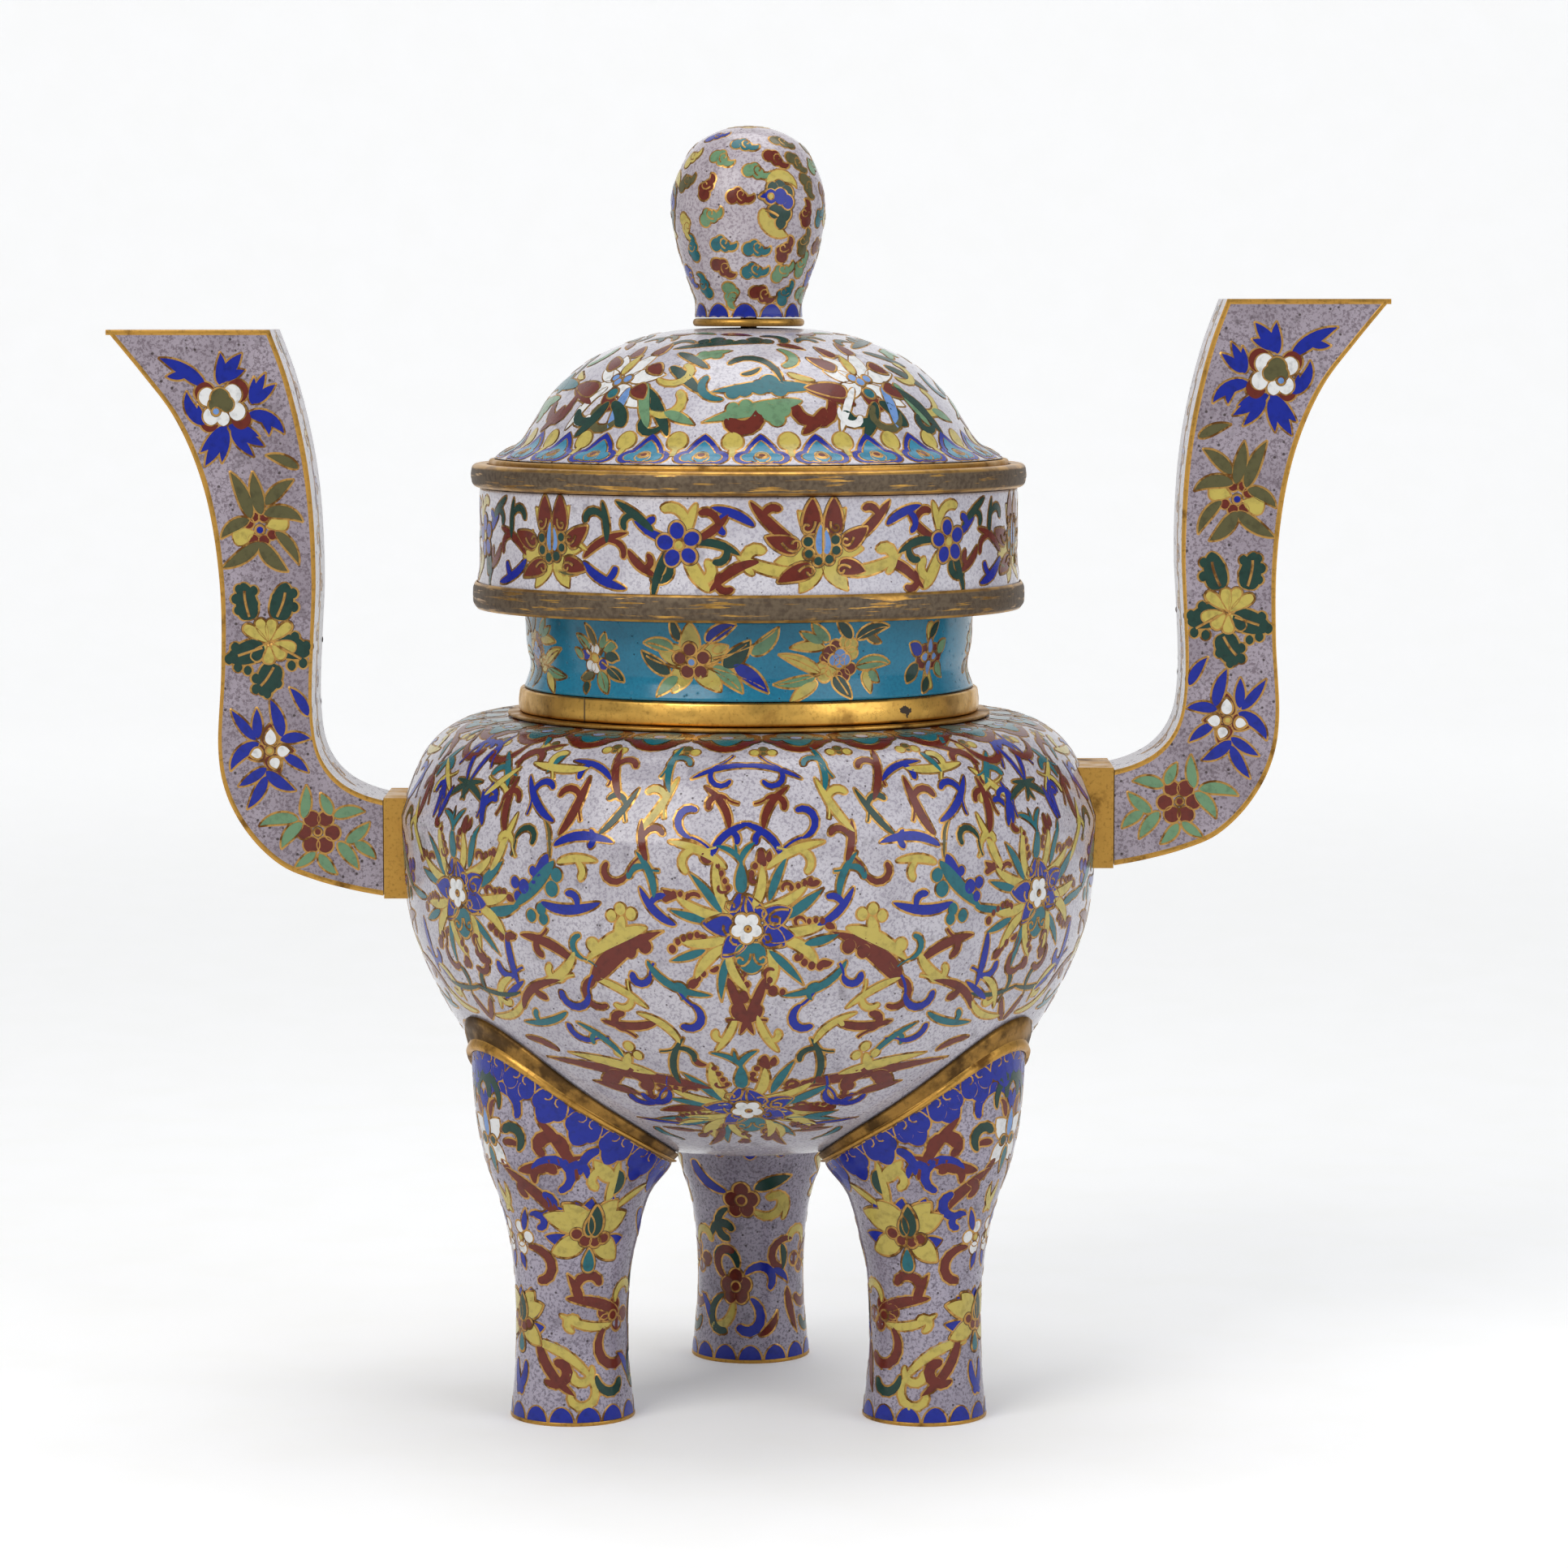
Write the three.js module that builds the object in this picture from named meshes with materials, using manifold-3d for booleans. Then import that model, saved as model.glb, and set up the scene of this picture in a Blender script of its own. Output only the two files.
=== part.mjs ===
// Tripod incense burner of enamelled copper with gilt rings: a bellied body on three swelling
// legs, a dished neck section that lifts out of the body's mouth, and a domed cover with a bud
// finial. Millimetres, +Z up. The origin is on the ground under the body's axis, the front faces
// -Y and the two handles lie along X.

import * as THREE from 'three';
import { mergeVertices } from 'three/addons/utils/BufferGeometryUtils.js';
import Module from 'manifold-3d';

const wasm = await Module();
wasm.setup();

// Facets
const roundSides = 36;
const legSides = 20;
const budSides = 24;
const studSides = 8;
const nutSides = 6;
const weldTolerance = 1e-4;

// Fits and walls
const seatGap = 0.3; // between pieces that rest on each other
const facetGap = 0.3; // added where a curved seat is made of flats
const slipGap = 0.6; // between a locating sleeve and its bore
const overrun = 2; // how far a cutting tool runs past what it cuts
const enamelledWall = 2.4; // copper with enamel on both faces

// Body
const bodyRadius = 107.7;
const bodyClearance = 77.5; // ground to the underside
const bodyHeight = 136.3; // underside to mouth
const mouthRadius = 73.5;
const shoulderShares = [[0, 1], [0.436, 0.987], [0.766, 0.923], [0.98, 0.8]];
const bellyShares = [[1, 0.737], [0.9675, 0.515], [0.829, 0.2905], [0.65, 0.143], [0.371, 0.033], [0, 0]];
const bodyRows = 16;
const bodyInsideRows = 10;

// Gilt ring set in the body's mouth
const mouthRingWidth = 6;
const mouthRingDepth = 4.5; // below the shoulder
const mouthLipHeight = 1.1;
const mouthLipWidth = 1.1;

// Neck section: gilt foot ring with its locating sleeve, and the band above it
const sleeveWall = 1.3;
const sleeveDepth = 9.5;
const neckRingStep = 4.3; // from the sleeve out to the ring's face
const neckRingHeight = 7.1;
const neckRingBatter = 0.4;
const neckInset = 1.7; // from the ring's face in to the band's foot
const neckBandHeight = 24;
const neckWaist = 1.9; // how far the band draws in at its waist
const neckHeadInset = 0.2;
const neckRows = 4;
const waistShare = 0.26;
const waistRiseShare = 0.56;
const waistRiseInsetShare = 0.4;

// Dish on top of the neck
const dishOverhang = 13.7; // from the neck band's head out to the dish band
const dishFloorThickness = 2;
const dishBandHeight = 34.6;
const dishBandWall = 2.4;
const dishFootFlare = 0.7;
const dishFlareShare = 0.19;
const dishWaistShare = 0.31;
const lowerRingWall = 1.2;
const lowerRingHeight = 8.2;
const lowerRingBulge = 0.5;
const upperRingProud = 2.2;
const upperRingHeight = 7.2;
const upperRingInset = 4.1; // from the band's face in to the ring's bore
const upperRingBulge = 0.6;
const rebateDepth = 1.2;
const rebateWidth = 4.3;

// Cover
const coverRimThickness = 2.3;
const coverRimInset = 9.6; // width of the rim's flat
const coverSkirtWall = 1.4;
const coverSkirtDepth = 5.6;
const domeInset = 1.7; // from the rim's edge in to the dome's edge
const domeHeight = 40;
const domeEdgeLand = 4.4; // width of the dome's lower edge
const domeWall = 2.4; // at the crown
const domeShares = [[1, 0], [0.962, 0.048], [0.899, 0.12], [0.842, 0.285], [0.772, 0.49], [0.632, 0.74],
  [0.43, 0.915], [0.248, 0.983], [0, 1]];
const domeRows = 12;
const domeInsideRows = 7;

// Bud finial
const budRadius = 23.6;
const budHeight = 58.3;
const budWall = 2.2;
const budShares = [[0.7, 0], [0.7, 0.09], [0.814, 0.218], [0.936, 0.389], [1, 0.561], [0.941, 0.729],
  [0.708, 0.899], [0.335, 0.985], [0, 1]];
const budRows = 11;
const budInsideRows = 6;
const budRingProud = 0.8;
const budRingHeight = 2.4;

// Legs: their axes stand on a circle about the body's axis, turned by shares of a full circle
const legCircleShare = 0.5803; // of the body's radius
const legTurnShares = { left: -5 / 12, right: -1 / 12, rear: 1 / 4 };
const legTopRadius = 30.4;
const legRows = 10;
const legInsideRows = 5;
// Radius from foot to top at equal steps, on the side that faces out and the side that faces in
const outerSideShares = [0.62, 0.588, 0.57, 0.567, 0.592, 0.645, 0.74, 0.872, 0.955, 0.992, 1];
const innerSideShares = [0.62, 0.592, 0.566, 0.556, 0.558, 0.568, 0.588, 0.642, 0.7, 0.8, 1];
const collarOuterHeight = 6.8;
const collarInnerHeight = 2.6;
const collarProud = 2.2;
const collarBeadProud = 0.8;
const collarInset = 2.6;
const collarBeadShare = 0.75;
const saddleThickness = 2;
const saddleRows = 4;
const footThickness = 1.2;
const footPlugHeight = 2.2;
const footProud = 0.3;

// Handles: box-section brackets that rise from the belly and sweep out at the top
const handleSeatDrop = 35.5; // from the mouth down to the seats' mean height
const handleSeatOffset = 4.7; // the right one sits higher and the left one lower by this
const handleCollarThickness = 4.6;
const handleCollarProud = 0.8;
const handleReach = 83.5; // collar to tip
const handleRise = 159; // seat centre to top
const handleDepth = 32;
const handleWall = 2.3;
const handleGripHeight = 29.5; // height of the section at the collar
const handleSteps = 18;
// Way out to the tip, and way up from the section's lower or upper corner at the collar to the top
const outerEdgeShares = [[0, 0], [0.11, 0.01], [0.25, 0.028], [0.38, 0.055], [0.495, 0.109],
  [0.575, 0.18], [0.604, 0.263], [0.59, 0.401], [0.59, 0.534], [0.619, 0.66], [0.673, 0.761],
  [0.757, 0.85], [0.871, 0.924], [1, 1]];
const innerEdgeShares = [[0, 0], [0.07, 0.012], [0.146, 0.035], [0.206, 0.071], [0.243, 0.12],
  [0.257, 0.189], [0.257, 0.258], [0.25, 0.341], [0.24, 0.466], [0.246, 0.598], [0.265, 0.709],
  [0.299, 0.813], [0.344, 0.91], [0.401, 1]];

// Fasteners
const studRadius = 2.5;
const studHeadRadius = 4.5;
const studHeadThickness = 2.5;
const studThreadRun = 1.5; // how far the stud shows beyond its nut
const holeClearance = 0.4;
const nutRadius = 5;
const nutHeight = 4;
const nutFlangeRadius = 6;
const nutFlangeThickness = 1.2;
const handleStudSpacing = 16;

// Finishes
const whiteEnamel = new THREE.MeshStandardMaterial({ color: 0xc9c2d2, roughness: 0.3, metalness: 0 });
const turquoiseEnamel = new THREE.MeshStandardMaterial({ color: 0x2f8fb0, roughness: 0.28, metalness: 0 });
const gilt = new THREE.MeshStandardMaterial({ color: 0xb98a36, roughness: 0.35, metalness: 1 });
const wornGilt = new THREE.MeshStandardMaterial({ color: 0x6b5132, roughness: 0.5, metalness: 0.8 });
const brass = new THREE.MeshStandardMaterial({ color: 0xa8823f, roughness: 0.45, metalness: 1 });

const point = (radius, height) => new THREE.Vector2(radius, height);

// A smooth outline through its points
function smooth(points, steps) {
  return new THREE.SplineCurve(points).getPoints(steps);
}

// The outline moved to the right of its direction of travel by the wall
function inset(points, wall) {
  return points.map((here, index) => {
    const before = points[Math.max(index - 1, 0)];
    const after = points[Math.min(index + 1, points.length - 1)];
    const along = after.clone().sub(before).normalize();
    return point(Math.max(here.x + along.y * wall, 0), here.y - along.x * wall);
  });
}

// One welded closed geometry without slivers, with its faces pointing out
function closed(geometry) {
  geometry.deleteAttribute('normal');
  geometry.deleteAttribute('uv');
  const welded = mergeVertices(geometry, weldTolerance);
  const position = welded.getAttribute('position');
  const corner = (number) => new THREE.Vector3().fromBufferAttribute(position, number);
  const kept = [];
  let volume = 0;
  for (let start = 0; start < welded.index.count; start += 3) {
    const [a, b, c] = [0, 1, 2].map((step) => welded.index.getX(start + step));
    if (a !== b && b !== c && c !== a) {
      kept.push(a, b, c);
      volume += corner(a).dot(corner(b).cross(corner(c)));
    }
  }
  if (volume < 0) {
    kept.reverse();
  }
  const result = new THREE.BufferGeometry();
  result.setAttribute('position', position);
  result.setIndex(kept);
  return result;
}

function toSolid(geometry) {
  return new wasm.Manifold(new wasm.Mesh({
    numProp: 3,
    vertProperties: new Float32Array(geometry.getAttribute('position').array),
    triVerts: new Uint32Array(geometry.index.array),
  }));
}

function fromSolid(solid) {
  const mesh = solid.getMesh();
  const result = new THREE.BufferGeometry();
  result.setAttribute('position', new THREE.BufferAttribute(new Float32Array(mesh.vertProperties), 3));
  result.setIndex(new THREE.BufferAttribute(new Uint32Array(mesh.triVerts), 1));
  return result;
}

function cut(geometry, tools) {
  return fromSolid(tools.reduce((solid, tool) => solid.subtract(toSolid(tool)), toSolid(geometry)));
}

// A profile of radius and height turned about the upright axis
function turned(profile, sides) {
  return closed(new THREE.LatheGeometry(profile, sides).rotateX(Math.PI / 2));
}

// A ring profile that closes on itself, turned about the upright axis
function turnedRing(profile, sides) {
  return turned([...profile, profile[0]], sides);
}

// A closed ring lofted through sections: sectionAt gives as many points at every turn
function loftedRing(sectionAt, sides) {
  const positions = [];
  const indices = [];
  const count = sectionAt(0).length;
  for (let side = 0; side < sides; side += 1) {
    const next = (side + 1) % sides;
    sectionAt((2 * Math.PI * side) / sides).forEach((corner, step) => {
      const beside = (step + 1) % count;
      positions.push(corner.x, corner.y, corner.z);
      indices.push(side * count + step, next * count + step, next * count + beside);
      indices.push(side * count + step, next * count + beside, side * count + beside);
    });
  }
  const geometry = new THREE.BufferGeometry();
  geometry.setAttribute('position', new THREE.Float32BufferAttribute(positions, 3));
  geometry.setIndex(indices);
  return closed(geometry);
}

// A round tool or pin whose axis runs up from a height
function pin(radius, bottom, top) {
  return turned([point(0, bottom), point(radius, bottom), point(radius, top), point(0, top)], studSides);
}

const burner = new THREE.Group();

// Adds a named piece to the burner or to a group inside it
function add(name, geometry, material, group = burner) {
  const mesh = new THREE.Mesh(geometry, material);
  mesh.name = name;
  group.add(mesh);
  return mesh;
}

// Body outline from the mouth out over the shoulder and down to the axis
const mouthHeight = bodyClearance + bodyHeight;
const bodyControls = [
  ...shoulderShares.map(([out, up]) => point(
    mouthRadius + (bodyRadius - mouthRadius) * out,
    bodyClearance + bodyHeight * up,
  )),
  ...bellyShares.map(([out, up]) => point(bodyRadius * out, bodyClearance + bodyHeight * up)),
];
const bodyOutline = smooth(bodyControls, bodyRows);
const bodyInside = inset(smooth(bodyControls, bodyInsideRows), enamelledWall);
bodyInside[0].x = mouthRadius;

// Height of an outline at a radius, on the part below its widest row
function heightAtRadius(outline, radius) {
  const widest = outline.reduce((best, here, index) => (here.x > outline[best].x ? index : best), 0);
  for (let row = widest; row < outline.length - 1; row += 1) {
    const upper = outline[row];
    const lower = outline[row + 1];
    if (lower.x <= radius) {
      return THREE.MathUtils.mapLinear(radius, lower.x, upper.x, lower.y, upper.y);
    }
  }
  return outline[outline.length - 1].y;
}

// Radius of an outline at a height, where it first comes down to it
function radiusAtHeight(outline, height) {
  const row = outline.findIndex((here, index) => index > 0 && here.y <= height);
  const upper = outline[row - 1];
  const lower = outline[row];
  return THREE.MathUtils.mapLinear(height, lower.y, upper.y, lower.x, upper.x);
}

const underside = (radius) => heightAtRadius(bodyOutline, radius);

// Where each leg's stud passes through the body, square to the wall
const legCircle = bodyRadius * legCircleShare;
const legSeatHeight = underside(legCircle);
const legSeatTilt = Math.atan2(
  underside(legCircle + nutFlangeRadius) - underside(legCircle - nutFlangeRadius),
  2 * nutFlangeRadius,
);

// Turns something made about the upright axis so that it stands on the leg's seat
function onLegSeat(geometry) {
  return geometry.rotateY(-legSeatTilt).translate(legCircle, 0, legSeatHeight);
}

// The body as a full round grown by the seat's gap, to scoop what sits against it
function bodyRound() {
  const skin = inset(bodyOutline, -seatGap);
  skin[skin.length - 1].x = 0;
  return turned([point(0, mouthHeight + seatGap), ...skin], roundSides);
}

function legHoleTool(turnShare = 0) {
  const reach = enamelledWall + saddleThickness + overrun;
  const tool = onLegSeat(pin(studRadius + holeClearance, -reach, reach));
  return tool.rotateZ(2 * Math.PI * turnShare);
}

// Each handle is made on the right side and turned; its facing tells which of its sides is the front
const handleSeatHeight = mouthHeight - handleSeatDrop;
const handles = {
  left: { turn: Math.PI, facing: -1, height: handleSeatHeight - handleSeatOffset },
  right: { turn: 0, facing: 1, height: handleSeatHeight + handleSeatOffset },
};
const handleStart = bodyRadius + handleCollarThickness;
const studPlaces = { front: -handleStudSpacing / 2, rear: handleStudSpacing / 2 };

// Lays a tool or pin along X at a handle's stud place, on the right side
function alongHandleStud(geometry, across, height) {
  return geometry.rotateY(Math.PI / 2).translate(0, across, height);
}

function handleHoleTools(height) {
  const near = bodyRadius - handleGripHeight;
  return Object.values(studPlaces).map((across) => (
    alongHandleStud(pin(studRadius + holeClearance, near, handleStart + overrun), across, height)
  ));
}

function addBody() {
  const profile = [...bodyInside.toReversed(), ...bodyOutline];
  profile[0].x = 0;
  const shell = turned(profile, roundSides);
  const legHoles = Object.values(legTurnShares).map((turnShare) => legHoleTool(turnShare));
  const handleHoles = Object.values(handles).flatMap(({ turn, height }) => (
    handleHoleTools(height).map((tool) => tool.rotateZ(turn))
  ));
  add('body_shell', cut(shell, [...legHoles, ...handleHoles]), whiteEnamel);
}

// The mouth ring rests its lip on the shoulder and lines the cut edge
const mouthBore = mouthRadius - mouthRingWidth;
const mouthLipBottom = mouthHeight + seatGap;
const mouthLipTop = mouthLipBottom + mouthLipHeight;

function addMouthRing() {
  const foot = mouthHeight - mouthRingDepth;
  const sleeve = mouthRadius - seatGap;
  const lip = mouthRadius + mouthLipWidth;
  add('body_mouth_ring', turnedRing([
    point(mouthBore, foot),
    point(sleeve, foot),
    point(sleeve, mouthLipBottom),
    point(lip, mouthLipBottom),
    point(lip, mouthLipTop),
    point(mouthBore, mouthLipTop),
  ], roundSides), gilt);
}

// The side of a leg at a turn from the outward side, as a share of the way up
function legRadius(share, turn) {
  const facing = (1 + Math.cos(turn)) / 2;
  const place = share * (outerSideShares.length - 1);
  const step = Math.min(Math.floor(place), outerSideShares.length - 2);
  const between = (shares) => THREE.MathUtils.lerp(shares[step], shares[step + 1], place - step);
  const blended = facing * between(outerSideShares) + (1 - facing) * between(innerSideShares);
  return legTopRadius * blended;
}

// The outline a seat's gap below the body, and its height over a point about a leg's axis
const seatOutline = inset(bodyOutline, -seatGap - facetGap);

function undersideOver(radius, turn) {
  const across = radius * Math.sin(turn);
  return heightAtRadius(seatOutline, Math.hypot(legCircle + radius * Math.cos(turn), across));
}

function collarBottom(turn) {
  const facing = (1 + Math.cos(turn)) / 2;
  const height = THREE.MathUtils.lerp(collarInnerHeight, collarOuterHeight, facing);
  return undersideOver(legTopRadius, turn) - height;
}

// A point by radius and turn about a leg's axis, and height above the ground
function aboutLeg(radius, turn, height) {
  return new THREE.Vector3(legCircle + radius * Math.cos(turn), radius * Math.sin(turn), height);
}

const legFoot = footThickness + seatGap;

// Even shares from nothing to the whole
function sharesOf(rows) {
  return Array.from({ length: rows + 1 }, (_, row) => row / rows);
}

function legShellSection(turn) {
  const top = collarBottom(turn) - seatGap;
  const side = (rows, wall) => sharesOf(rows).map((share) => aboutLeg(
    legRadius(share, turn) - wall,
    turn,
    THREE.MathUtils.lerp(legFoot, top, share),
  ));
  return [...side(legRows, 0), ...side(legInsideRows, enamelledWall).reverse()];
}

function legCollarSection(turn) {
  const bottom = collarBottom(turn);
  const inner = legTopRadius - collarInset;
  const outer = legTopRadius + collarProud;
  const bead = legTopRadius + collarBeadProud;
  const top = undersideOver(outer, turn);
  return [
    aboutLeg(inner, turn, bottom),
    aboutLeg(bead, turn, bottom),
    aboutLeg(outer, turn, THREE.MathUtils.lerp(bottom, top, collarBeadShare)),
    aboutLeg(outer, turn, top),
    aboutLeg(inner, turn, undersideOver(inner, turn)),
  ];
}

// The plate that closes a leg under the body and carries its stud
function legSaddle() {
  const rim = legTopRadius - collarInset - seatGap;
  const bore = studRadius / 2;
  const row = (turn, drop) => sharesOf(saddleRows).map((share) => {
    const radius = THREE.MathUtils.lerp(bore, rim, share);
    return aboutLeg(radius, turn, undersideOver(radius, turn) - drop);
  });
  const section = (turn) => [...row(turn, saddleThickness), ...row(turn, 0).reverse()];
  return cut(loftedRing(section, legSides), [legHoleTool()]);
}

// A headed stud: its head ends at seat, and its shank runs up to top
function stud(seat, top) {
  return turned([
    point(0, seat - studHeadThickness),
    point(studHeadRadius, seat - studHeadThickness),
    point(studHeadRadius, seat),
    point(studRadius, seat),
    point(studRadius, top),
    point(0, top),
  ], studSides);
}

// A six-sided nut on a round flange, with its bore clear of the stud
function nut(seat) {
  const bore = studRadius + seatGap;
  const flangeTop = seat + nutFlangeThickness;
  const flange = turnedRing([
    point(bore, seat),
    point(nutFlangeRadius, seat),
    point(nutFlangeRadius, flangeTop),
    point(bore, flangeTop),
  ], studSides);
  const collarFoot = seat + nutFlangeThickness / 2;
  const hexagon = new THREE.CylinderGeometry(nutRadius, nutRadius, nutHeight, nutSides);
  const middle = collarFoot + nutHeight / 2;
  const body = closed(hexagon.rotateX(Math.PI / 2).translate(0, 0, middle));
  const hole = pin(bore, seat - overrun, seat + nutHeight + overrun);
  return fromSolid(toSolid(flange).add(toSolid(body)).subtract(toSolid(hole)));
}

const nutStack = nutFlangeThickness / 2 + nutHeight;

// How far above its seat under the body a leg's nut clears the body's inside, all round its flange
function legNutSeat() {
  const facet = Math.cos(Math.PI / roundSides);
  const rises = sharesOf(studSides).map((share) => {
    const out = nutFlangeRadius * Math.cos(2 * Math.PI * share);
    const across = nutFlangeRadius * Math.sin(2 * Math.PI * share);
    const radius = Math.hypot(legCircle + out, across) / facet;
    return heightAtRadius(bodyInside, radius) - legSeatHeight - out * Math.tan(legSeatTilt);
  });
  return Math.max(...rises) * Math.cos(legSeatTilt) + seatGap;
}

function addLeg(name, turnShare) {
  const leg = new THREE.Group();
  leg.rotation.z = 2 * Math.PI * turnShare;
  burner.add(leg);
  const plug = footThickness + footPlugHeight;
  const plugRadius = legRadius(0, 0) - enamelledWall - slipGap;
  const footRadius = legRadius(0, 0) + footProud;
  const foot = turned([
    point(0, 0),
    point(footRadius, 0),
    point(footRadius, footThickness),
    point(plugRadius, footThickness),
    point(plugRadius, plug),
    point(0, plug),
  ], legSides);
  const studSeat = -(seatGap + saddleThickness + seatGap);
  const nutSeat = legNutSeat();
  add(`leg_${name}`, loftedRing(legShellSection, legSides), whiteEnamel, leg);
  add(`leg_collar_${name}`, loftedRing(legCollarSection, legSides), gilt, leg);
  add(`leg_saddle_${name}`, legSaddle(), brass, leg);
  add(`leg_foot_${name}`, foot.translate(legCircle, 0, 0), gilt, leg);
  add(`leg_stud_${name}`, onLegSeat(stud(studSeat, nutSeat + nutStack + studThreadRun)), brass, leg);
  add(`leg_nut_${name}`, onLegSeat(nut(nutSeat)), brass, leg);
}

// One edge of a handle in its own upright plane, from the collar to the top
function handleEdge(shares, corner) {
  const controls = shares.map(([out, up]) => point(handleReach * out, corner + (handleRise - corner) * up));
  return smooth(controls, handleSteps);
}

// Both edges moved towards each other by the wall
function handleOutline(wall, top, start) {
  const outer = handleEdge(outerEdgeShares, -handleGripHeight / 2);
  const inner = handleEdge(innerEdgeShares, handleGripHeight / 2);
  const towards = (from, to) => from.map((here, index) => {
    const across = to[index].clone().sub(here).normalize();
    return here.clone().addScaledVector(across, wall);
  });
  const below = ({ x, y }) => point(Math.max(x, start), Math.min(y, top));
  const bottomSide = towards(outer, inner).map(below);
  const topSide = towards(inner, outer).map(below).reverse();
  bottomSide[0].x = start;
  topSide[topSide.length - 1].x = start;
  return new THREE.Shape([...bottomSide, ...topSide]);
}

function handleSlab(outline, depth) {
  const slab = new THREE.ExtrudeGeometry(outline, { depth, bevelEnabled: false, steps: 1 });
  return closed(slab.rotateX(Math.PI / 2).translate(0, depth / 2, 0));
}

function handleShell() {
  const skin = handleSlab(handleOutline(0, handleRise, 0), handleDepth);
  const hollow = handleOutline(handleWall, handleRise - handleWall, -overrun);
  return cut(skin, [handleSlab(hollow, handleDepth - 2 * handleWall)]);
}

// The gilt block between a handle and the belly, scooped to sit on the curve
function handleCollar(height) {
  const tall = handleGripHeight + 2 * handleCollarProud;
  const deep = handleDepth + 2 * handleCollarProud;
  const back = bodyRadius - handleGripHeight;
  const block = new THREE.BoxGeometry(handleStart - back, deep, tall);
  const placed = closed(block.translate((handleStart + back) / 2, 0, height));
  return cut(placed, [bodyRound(), ...handleHoleTools(height)]);
}

// How far out a nut's flange may sit inside the belly at a stud place
function handleNutSeat(height) {
  const across = handleStudSpacing / 2 + nutFlangeRadius;
  const levels = [height - nutFlangeRadius, height, height + nutFlangeRadius];
  const facet = Math.cos(Math.PI / roundSides);
  const reach = Math.min(...levels.map((level) => radiusAtHeight(bodyInside, level))) * facet;
  return Math.sqrt(reach * reach - across * across) - seatGap;
}

function addHandle(side, { turn, facing, height }) {
  const group = new THREE.Group();
  group.rotation.z = turn;
  burner.add(group);
  const shell = handleShell().translate(handleStart + seatGap, 0, height);
  add(`handle_${side}`, shell, whiteEnamel, group);
  add(`handle_collar_${side}`, handleCollar(height), gilt, group);
  const nutSeat = handleNutSeat(height);
  const headSeat = handleStart + seatGap;
  Object.entries(studPlaces).forEach(([place, across]) => {
    const bolt = stud(-headSeat, nutStack + studThreadRun - nutSeat).rotateY(Math.PI);
    add(`handle_stud_${side}_${place}`, alongHandleStud(bolt, facing * across, height), brass, group);
    const ring = nut(-nutSeat).rotateY(Math.PI);
    add(`handle_nut_${side}_${place}`, alongHandleStud(ring, facing * across, height), brass, group);
  });
}

// Neck section, from the sleeve in the mouth ring up to the dish's rim
const sleeveRadius = mouthBore - slipGap;
const neckFoot = mouthLipTop + seatGap;
const neckRingRadius = sleeveRadius + neckRingStep;
const neckBore = sleeveRadius - sleeveWall;
const neckBandFoot = neckFoot + neckRingHeight + seatGap;
const neckRadius = neckRingRadius - neckInset;
const neckHeadRadius = neckRadius - neckHeadInset;
const neckHead = neckBandFoot + neckBandHeight;

function addNeck() {
  const ringTop = neckFoot + neckRingHeight;
  add('neck_ring', turnedRing([
    point(neckBore, neckFoot - sleeveDepth),
    point(sleeveRadius, neckFoot - sleeveDepth),
    point(sleeveRadius, neckFoot),
    point(neckRingRadius, neckFoot),
    point(neckRingRadius - neckRingBatter, ringTop),
    point(neckBore, ringTop),
  ], roundSides), gilt);
  const face = smooth([
    point(neckRadius, neckBandFoot),
    point(neckRadius - neckWaist, neckBandFoot + neckBandHeight * waistShare),
    point(neckRadius - neckWaist * waistRiseInsetShare, neckBandFoot + neckBandHeight * waistRiseShare),
    point(neckHeadRadius, neckHead),
  ], neckRows);
  const back = [point(neckBore, neckHead), point(neckBore, neckBandFoot)];
  add('neck_band', turnedRing([...face, ...back], roundSides), turquoiseEnamel);
}

const dishFoot = neckHead + seatGap;
const dishFloorTop = dishFoot + dishFloorThickness;
const dishRadius = neckHeadRadius + dishOverhang;
const dishBandFoot = dishFloorTop + seatGap;
const dishBandTop = dishBandFoot + dishBandHeight;
const upperRingFoot = dishBandTop + seatGap;
const upperRingTop = upperRingFoot + upperRingHeight;
const upperRingBore = dishRadius - dishBandWall - upperRingInset;
const rebateFloor = upperRingTop - rebateDepth;
const rebateRadius = upperRingBore + rebateWidth;

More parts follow.
